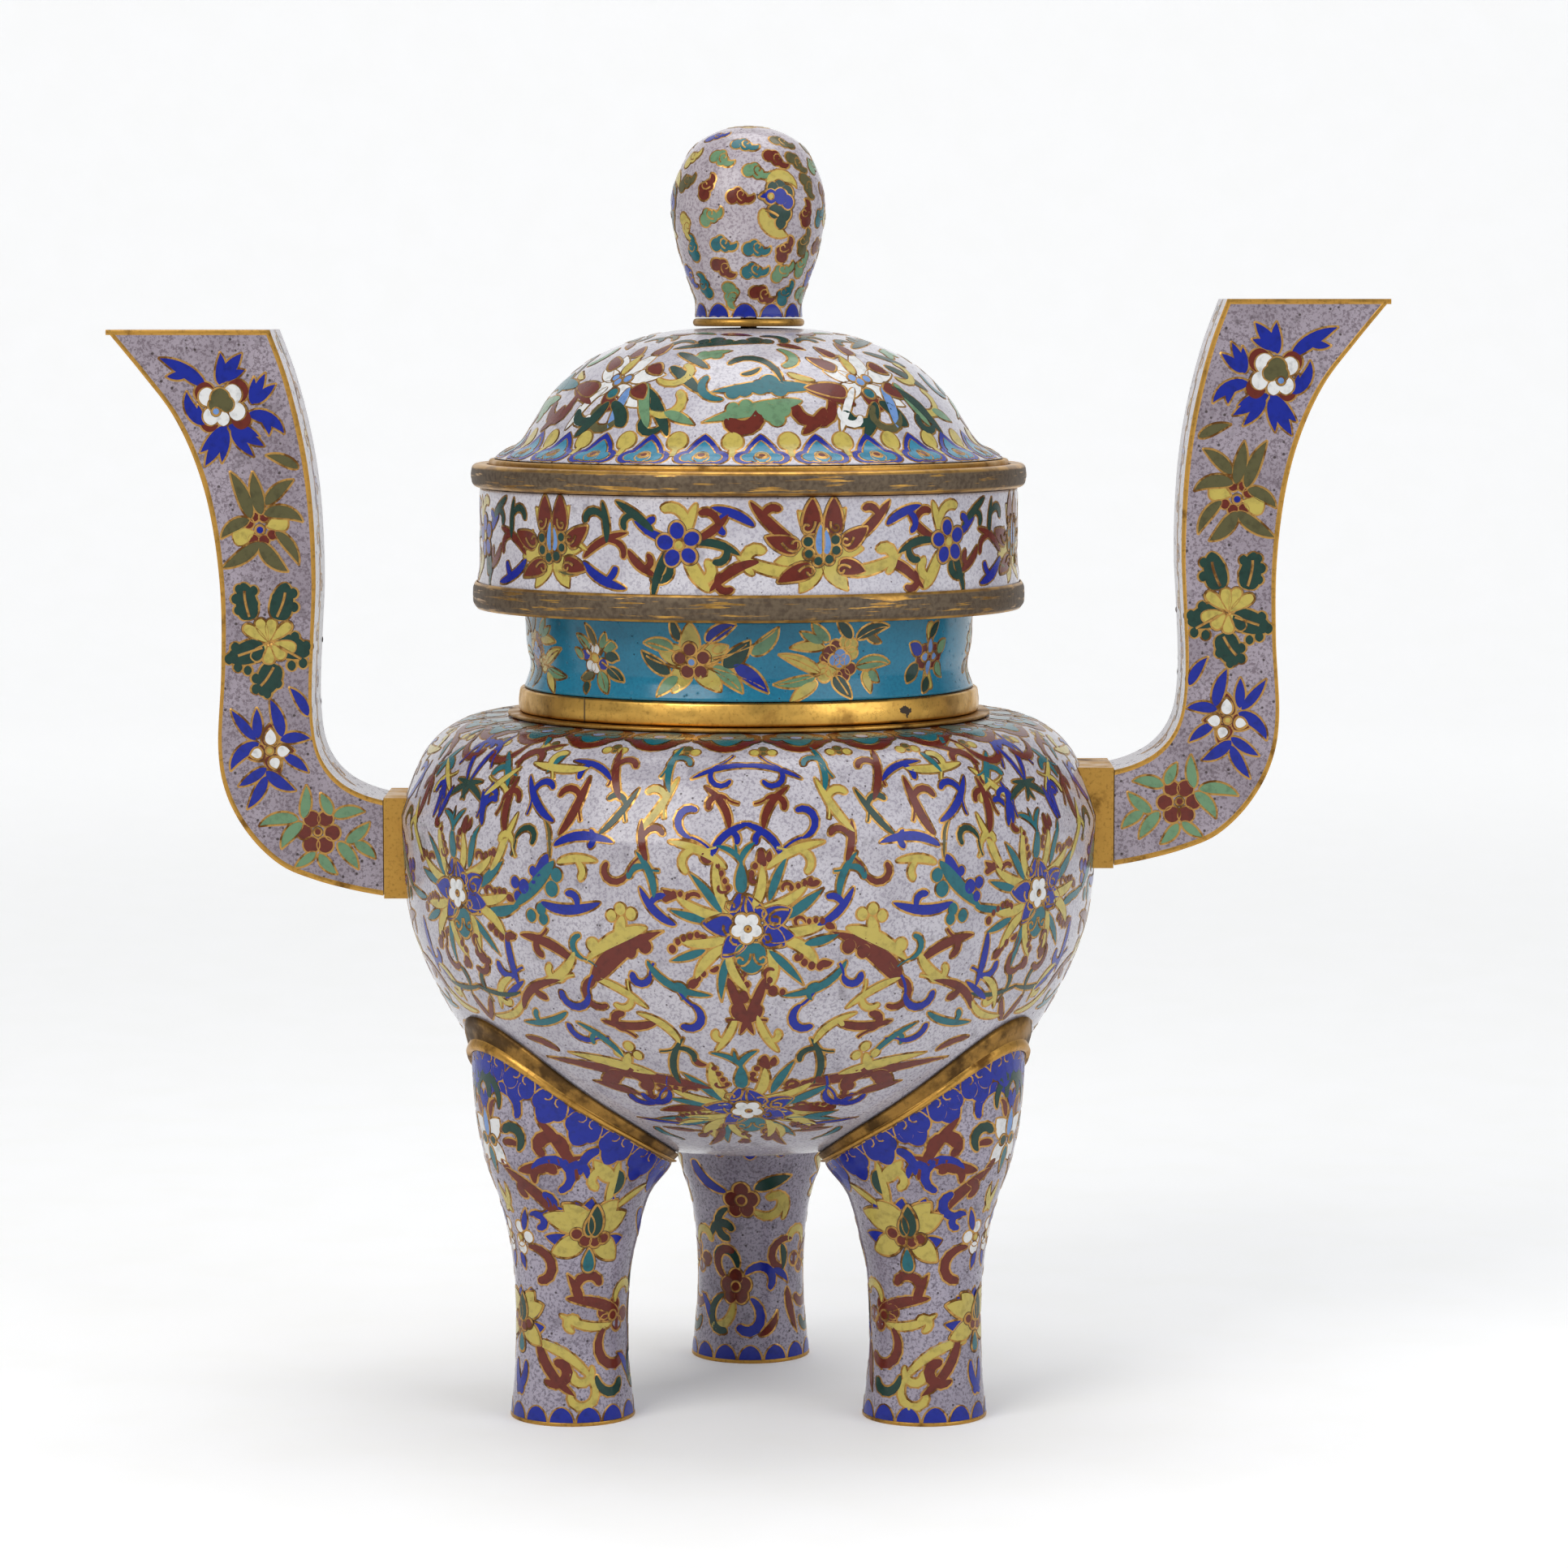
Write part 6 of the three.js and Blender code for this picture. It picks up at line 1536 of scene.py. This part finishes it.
# Handle ornament: five flowers with their leaves up each flat face in the handle's own frame of out and up, a
# simple scroll up the narrow faces, and gilt edges
handleCells = readOff([
    (244, 477, 186, 441, 25, 2.3, "cobalt"), (224, 459, 195, 464, -20, 1.6, "cobalt"),
    (261, 474, 262, 434, 20, 1.9, "cobalt"), (262, 472, 289, 435, -10, 2.3, "cobalt"),
    (264, 468, 293, 456, -10, 1.7, "cobalt"), (301, 498, 304, 464, 0, 1.5, "cobalt"),
    (302, 498, 318, 459, -10, 1.7, "cobalt"), (304, 497, 331, 473, -10, 1.7, "cobalt"),
    (296, 511, 341, 535, -70, 2.2, "cobalt"), (311, 508, 322, 537, -50, 1.6, "cobalt"),
    (272, 525, 311, 538, -10, 2, "cobalt"), (274, 526, 317, 550, 0, 2.1, "cobalt"),
    (276, 530, 304, 563, 10, 1.8, "cobalt"), (270, 524, 237, 558, -10, 2.1, "cobalt"),
    (268, 526, 243, 575, -10, 2.3, "cobalt"), (270, 528, 264, 571, 0, 1.8, "cobalt"),
    (243, 523, 221, 482, -60, 2.1, "cobalt"), (238, 519, 235, 498, 0, 1.2, "cobalt"),
    (243, 484, 3.3, "ironRed"), (283, 482, 3.7, "ironRed"), (288, 516, 3.3, "ironRed"),
    (249, 520, 3.1, "ironRed"), (265, 500, 5, "ironRed"), (246, 489, 2.8, "white", -2),
    (277, 486, 3.1, "white", -2), (283, 507, 2.8, "white", -2), (251, 513, 2.7, "white", -2),
    (266, 516, 2.2, "white", -2), (262, 491, 3.1, "olive", -3), (256, 499, 2.2, "olive", -3),
    (270, 498, 2.4, "olive", -3), (257, 507, 1.1, "lightBlue", 3), (300, 639, 274, 581, 20, 2.2, "olive"),
    (313, 634, 302, 581, -10, 2.2, "olive"), (318, 622, 353, 591, -30, 2.1, "olive"),
    (358, 577, 318, 561, 30, 1.7, "olive"), (316, 634, 364, 643, -70, 2.2, "olive"),
    (330, 655, 359, 696, -40, 1.8, "olive"), (312, 668, 346, 704, 40, 2.4, "olive"),
    (311, 668, 264, 700, -20, 2.2, "olive"), (298, 641, 263, 664, 50, 2, "olive"),
    (304, 655, 278, 663, -10, 2.8, "yellow", "club", 0), (318, 649, 346, 642, -10, 2.8, "yellow", "club", 0),
    (304, 637, 1.6, "ironRed", 0), (316, 637, 1.6, "ironRed", 0), (297, 645, 1.7, "ironRed", 0),
    (303, 665, 1.7, "ironRed", 0), (316, 666, 1.7, "ironRed", 0), (326, 659, 1.5, "ironRed", 0),
    (311, 653, 1.3, "cobalt", 1), (298, 764, 290, 718, 0, 3.6, "darkGreen", "petal"),
    (281, 738, 1.6, "darkGreen"), (285, 726, 1.5, "darkGreen"), (303, 728, 1.6, "darkGreen"),
    (304, 744, 1.5, "darkGreen"), (284, 752, 1.5, "darkGreen"),
    (334, 764, 343, 718, 0, 3.8, "darkGreen", "petal"), (331, 736, 1.6, "darkGreen"),
    (332, 750, 1.5, "darkGreen"), (352, 731, 1.6, "darkGreen"), (353, 748, 1.6, "darkGreen"),
    (316, 796, 270, 812, -10, 3.8, "darkGreen", "petal"), (281, 798, 1.7, "darkGreen"),
    (273, 812, 1.7, "darkGreen"), (284, 822, 1.6, "darkGreen"), (296, 826, 1.5, "darkGreen"),
    (330, 792, 372, 806, -10, 3.9, "darkGreen", "petal"), (354, 785, 1.7, "darkGreen"),
    (368, 796, 1.7, "darkGreen"), (364, 817, 1.6, "darkGreen"), (350, 820, 1.6, "darkGreen"),
    (329, 818, 312, 857, -10, 3.9, "darkGreen", "petal"), (306, 836, 1.6, "darkGreen"),
    (306, 849, 1.6, "darkGreen"), (320, 855, 1.5, "darkGreen"), (333, 842, 1.6, "darkGreen"),
    (298, 760, 292, 728, -20, 0.3, "line", "curl", 2), (332, 760, 342, 730, 20, 0.3, "line", "curl", 2),
    (314, 798, 284, 808, 0, 0.3, "line", "curl", 2), (334, 796, 362, 812, 0, 0.3, "line", "curl", 2),
    (328, 822, 312, 845, -20, 0.3, "line", "curl", 2), (321, 792, 291, 772, 10, 1.7, "yellow", "club", 1),
    (321, 790, 309, 763, 0, 1.7, "yellow", "club", 1), (322, 790, 326, 763, 0, 1.7, "yellow", "club", 1),
    (324, 790, 349, 768, 0, 1.7, "yellow", "club", 1), (320, 794, 302, 813, 0, 1.8, "yellow", "club", 1),
    (322, 795, 322, 818, 0, 1.8, "yellow", "club", 1), (325, 794, 341, 811, 0, 1.8, "yellow", "club", 1),
    (328, 792, 355, 799, 0, 1.8, "yellow", "club", 1), (306, 912, 275, 874, -10, 1.8, "cobalt"),
    (308, 910, 307, 872, 0, 1.8, "cobalt"), (338, 908, 323, 861, 20, 2.1, "cobalt"),
    (336, 912, 374, 910, -30, 1.9, "cobalt"), (370, 882, 347, 847, 30, 1.8, "cobalt"),
    (340, 930, 371, 952, -20, 1.8, "cobalt"), (319, 950, 356, 974, 30, 2.1, "cobalt"),
    (319, 946, 284, 969, -10, 1.8, "cobalt"), (320, 956, 296, 997, -20, 1.9, "cobalt"),
    (310, 916, 275, 950, 60, 2.1, "cobalt"), (323, 920, 324, 891, 0, 2.7, "ironRed", "ogee", 0),
    (326, 926, 354, 925, 0, 2.7, "ironRed", "ogee", 0), (318, 926, 292, 931, 0, 2.7, "ironRed", "ogee", 0),
    (324, 930, 334, 955, 0, 2.7, "ironRed", "ogee", 0), (324, 918, 324, 898, 0, 1.8, "white", "leaf", 1),
    (332, 926, 348, 925, 0, 1.8, "white", "leaf", 1), (314, 927, 299, 930, 0, 1.8, "white", "leaf", 1),
    (327, 933, 332, 948, 0, 1.8, "white", "leaf", 1), (323, 925, 1, "yellow", 2),
    (370, 1008, 374, 967, 20, 1.8, "paleGreen"), (404, 1004, 391, 977, 10, 1.8, "paleGreen"),
    (408, 1006, 446, 1000, -40, 1.9, "paleGreen"), (424, 1038, 453, 1013, 20, 1.9, "paleGreen"),
    (434, 1038, 460, 1058, -30, 1.8, "paleGreen"), (414, 1038, 439, 1071, -15, 2, "paleGreen"),
    (391, 1052, 413, 1077, 30, 1.8, "paleGreen"), (386, 1050, 360, 1069, -10, 1.6, "paleGreen"),
    (370, 1014, 344, 1046, 40, 2, "paleGreen"), (364, 1010, 316, 1018, 50, 2, "paleGreen"),
    (381, 1009, 2.5, "ironRed", 0), (398, 1009, 2.5, "ironRed", 0), (407, 1026, 2.5, "ironRed", 0),
    (398, 1041, 2.6, "ironRed", 0), (381, 1041, 2.6, "ironRed", 0), (372, 1025, 2.4, "ironRed", 0),
    (389, 1025, 1, "ironRed", 1),
], onHandle, -1)


def handleFrame(line, along):
    run = runOf(line)
    return np.stack([np.interp(along, run, line[:, axis]) for axis in (0, 1)], axis=-1)


def handleFace(side, front):
    way = front * handleSides[side]

    def point(turn, height):
        return handlePoint(way * turn, height + 0 * turn, -front * handleForm["depth"] / 2 + 0 * turn, side)

    return {"point": point, "scale": lambda turn, height: np.ones_like(turn + height)}, way


def handleEdgeFace(side, outer):
    line = handleOuter if outer else handleInner
    way = (1 if outer else -1) * handleSides[side]

    def point(turn, height):
        flat = handleFrame(line, height)
        return handlePoint(flat[..., 0], flat[..., 1], way * turn, side)

    return {"point": point, "scale": lambda turn, height: np.ones_like(turn + height)}, runOf(line)[-1]


# Gilt edge: three columns along each edge of a face, the middle one raised
def handleTrim(side, front):
    columns = np.array([0.0, 0.5, 1.0]) * handleForm["edge"]
    across = handleInner - handleOuter
    across /= np.hypot(*across.T)[:, None]
    top = handleOuter[-1] + (handleInner[-1] - handleOuter[-1]) * np.linspace(0, 1, len(handleOuter))[:, None]
    strips = [handleOuter[:, None] + columns[None, :, None] * across[:, None],
              handleInner[:, None] - columns[None, :, None] * across[:, None],
              top[:, None] - columns[None, :, None] * np.array([0, 1.0])]
    way = -front * handleSides[side]
    ordered = [strip[:, ::step] for strip, step in zip(strips, (way, -way, -way))]
    flat = np.stack(ordered)
    lift = np.array([0.02, 1.0, 0.02]) * handleForm["edgeProud"]
    depth = -front * (handleForm["depth"] / 2 + lift)
    points = handlePoint(flat[..., 0], flat[..., 1], depth[None, None, :], side)
    addStrips("handle" + side.capitalize() + ("Front" if front > 0 else "Back") + "Trim", points, False,
              "vessel", giltRing)


for side, sign in handleSides.items():
    for front, title in ((1, "Front"), (-1, "Back")):
        surface, way = handleFace(side, front)
        rows = [(out - 2.4 * min(max(up / 25, 0.3), 1), up, *row) for out, up, *row in handleCells]
        placed = [tracedOn(rows, lambda out: math.degrees(way * out), way < 0)]
        addOrnament("handle" + side.capitalize() + title, surface, placed, "vessel")
        handleTrim(side, front)
    for outer, title in ((True, "Outer"), (False, "Inner")):
        surface, total = handleEdgeFace(side, outer)
        placed = []
        for k, height in enumerate(np.arange(10, total - 12, 15.0)):
            tone = ("ironRed", "darkGreen", "cobalt", "yellow")[k % 4]
            placed.append(place(scrollLeaf(62, 17, 60, -1, 1.2, tone), 0, height, flip=bool(k % 2)))
        for cells in placed:
            cells[:, 0] = np.where(cells[:, 4] > 90, 3.0, -3.0)
        addOrnament("handle" + side.capitalize() + title, surface, placed, "vessel")

# Finial ornament: small clouds and bats, a ring of scallops at the foot and a flower on top
cloudCrop = {"left": 782, "top": 130, "zoom": 5.42}
cloudsSeen = [
    (720, 260, -20, "teal"), (570, 350, -30, "paleGreen"), (800, 440, -20, "paleGreen"),
    (380, 360, 30, "yellow"), (340, 520, 20, "olive"), (480, 560, 60, "ironRed"), (690, 610, -10, "ironRed"),
    (500, 750, 20, "paleGreen"), (340, 790, -80, "yellow"), (580, 930, -10, "teal"), (800, 960, -10, "teal"),
    (400, 970, 90, "teal"), (1000, 980, 60, "ironRed"), (580, 1080, -40, "ironRed"), (790, 1110, 0, "teal"),
    (980, 1120, 30, "paleGreen"), (370, 1130, -60, "cobalt"), (480, 1220, 100, "teal"),
    (640, 1250, -90, "paleGreen"), (840, 1260, -30, "ironRed"), (1000, 1270, 60, "teal"),
    (540, 210, 20, "cobalt"), (930, 350, -40, "ironRed"), (1070, 370, -50, "olive"),
    (970, 240, -30, "olive"), (1150, 520, -70, "olive"), (1150, 740, 80, "ironRed"),
    (1130, 930, 70, "olive"), (1110, 1080, 70, "paleGreen"),
]
# Clouds at the sides, with listed turns and heights
cloudsBeside = [
    (-85, 20.6, 90, "ironRed"), (-85, 7.5, 90, "olive"), (70, 47.5, 20, "paleGreen"),
    (84, 53.5, -30, "olive"), (76, 39, -60, "ironRed"), (68, 31.5, 40, "teal"), (84, 31, -20, "yellow"),
    (72, 22.5, 10, "ironRed"), (88, 21.5, -70, "paleGreen"), (74, 13, 60, "cobalt"),
    (68, 7, -30, "paleGreen"), (86, 8, 30, "ironRed"),
]


finialBat = readOff([
    (944, 233, 987, 240, -120, 2.2, "yellow"), (937, 267, 974, 301, 70, 2.7, "yellow"),
    (951, 240, 1.9, "darkGreen", -2), (961, 240, 2.5, "darkGreen", -2), (971, 246, 2.3, "darkGreen", -2),
    (953, 270, 2.2, "darkGreen", -2), (965, 272, 2.8, "darkGreen", -2), (962, 284, 2, "darkGreen", -2),
    (948, 251, 2.2, "cobalt", -3), (961, 251, 2.5, "cobalt", -3), (971, 258, 2.2, "cobalt", -3),
    (946, 249, 933, 252, 0, 1, "cobalt", "leaf", -3), (948, 251, 0.9, "yellow", 3),
    (941, 268, 958, 276, -20, 0.3, "line", "curl", 3),
], onFlat("bat"))


# The clouds that were seen, carried from the enlarged crop to the bud
def cloudsRead():
    corner = (cloudCrop["left"], cloudCrop["top"])
    pixels = corner + np.array([cloud[:2] for cloud in cloudsSeen]) / cloudCrop["zoom"]
    turns, heights, scale = onTurned(budLine)(pixels)
    return [(turn, height, *cloud[2:]) for turn, height, cloud in zip(turns, heights, cloudsSeen)]


# Top of a turned shape seen from above: x and y are the running length from the pole
def poleSurface(outline):
    total = runOf(outline)[-1]
    around = turnedSurface(outline)

    def point(turn, height):
        return around["point"](np.arctan2(turn, -height), total - np.hypot(turn, height))

    return {"point": point, "scale": lambda turn, height: np.ones_like(turn + height)}


finialRings = {"batTurns": (24, -82, 150, 215), "batHeight": 36, "scallops": 12, "start": -4,
               "scallopHeight": 0.4}


def finialOrnament():
    placed = []
    for turn, height, spin, tone in cloudsRead() + cloudsBeside:
        placed += [place(motifs["cloud"], turn, height, spin, tone=tone),
                   place(motifs["cloud"], 180 + turn, height, 180 - spin, 1, True, tone=tone)]
    placed += [place(tracedMotif(finialBat), turn, finialRings["batHeight"])
               for turn in finialRings["batTurns"]]
    for turn in finialRings["start"] + 360 * np.arange(finialRings["scallops"]) / finialRings["scallops"]:
        placed.append(place(motifs["scallop"], turn, finialRings["scallopHeight"]))
    addOrnament("finial", turnedSurface(budLine), placed, "cover")
    medallion = [place(motifs["medallion"], 0, 0)]
    addOrnament("finialTop", poleSurface(budLine), medallion, "cover")


finialOrnament()

# Floor, light and background
stageForm = {"size": 3.2, "back": 2.5, "curve": 0.9, "tone": 0.88, "nearGlow": 0.12, "farGlow": 0.45}


# Floor that curves up into a backdrop: flat, then a quarter circle, then upright
def sweepLine(form):
    arc = np.linspace(0, math.pi / 2, 24)
    flat = [(-form["size"], 0.0)]
    bend = [(form["back"] + form["curve"] * math.sin(a), form["curve"] * (1 - math.cos(a))) for a in arc]
    return np.array(flat + bend + [(form["back"] + form["curve"], form["size"])])


# Its glow, which only the camera and reflections see, rises with the distance from the object, so that the
# floor near the object keeps its shadow
def makeStage():
    line = sweepLine(stageForm)
    x = np.array([-stageForm["size"], stageForm["size"]])
    points = np.stack(np.broadcast_arrays(x[None, :], line[:, :1], line[:, 1:]), axis=-1)
    mesh = bpy.data.meshes.new("floor")
    mesh.from_pydata(points.reshape(-1, 3).tolist(), [], gridFaces(len(line), 2).tolist())
    mesh.polygons.foreach_set("use_smooth", np.ones(len(mesh.polygons), dtype=bool))
    m = Nodes("floorPaper")
    grain = m.ramp(m.noise(30, 4.0), 0.3, 0.7, 0, 1)
    tone = stageForm["tone"]
    rays = m.add("LightPath").outputs
    seen = m.add("Math", {0: rays["Is Camera Ray"], 1: rays["Is Glossy Ray"]}, operation="MAXIMUM").outputs[0]
    away = m.add("VectorMath", {0: m.coordinates}, operation="LENGTH").outputs["Value"]
    glow = m.ramp(away, 0.5, stageForm["back"], stageForm["nearGlow"], stageForm["farGlow"])
    strength = m.add("Math", {0: seen, 1: glow}, operation="MULTIPLY").outputs[0]
    m.set(Base_Color=m.mix(grain, (tone, tone, tone, 1), (tone * 0.98, tone * 0.98, tone * 0.97, 1)),
          Roughness=0.7, Emission_Color=(1, 1, 1, 1), Emission_Strength=strength)
    mesh.materials.append(m.material)
    floor = bpy.data.objects.new("floor", mesh)
    scene.collection.objects.link(floor)


lamps = {
    "keySoftbox": {"place": (-1.1, -1.5, 1.5), "aim": (0, 0, 0.2), "size": 1.2, "power": 24,
                   "tone": (1, 0.98, 0.95)},
    "fillSoftbox": {"place": (1.5, -1.2, 0.9), "aim": (0, 0, 0.2), "size": 1.4, "power": 13,
                    "tone": (0.95, 0.97, 1)},
    "topSoftbox": {"place": (0.1, 0.3, 1.7), "aim": (0, 0, 0.2), "size": 1.2, "power": 12, "tone": (1, 1, 1)},
}


def addLamps():
    for name, lamp in lamps.items():
        data = bpy.data.lights.new(name, "AREA")
        data.shape, data.size, data.energy, data.color = "SQUARE", lamp["size"], lamp["power"], lamp["tone"]
        light = bpy.data.objects.new(name, data)
        place = np.array(lamp["place"])
        back = place - np.array(lamp["aim"])
        light.location = place
        light.rotation_euler = (math.atan2(math.hypot(back[0], back[1]), back[2]), 0,
                                math.atan2(back[1], back[0]) + math.pi / 2)
        scene.collection.objects.link(light)


def setWorld():
    world = bpy.data.worlds.new("studio")
    world.use_nodes = True
    world.node_tree.nodes["Background"].inputs["Color"].default_value = (0.9, 0.92, 0.95, 1)
    world.node_tree.nodes["Background"].inputs["Strength"].default_value = 0.46
    scene.world = world


makeStage()
addLamps()
setWorld()
scene.view_settings.view_transform = "Standard"
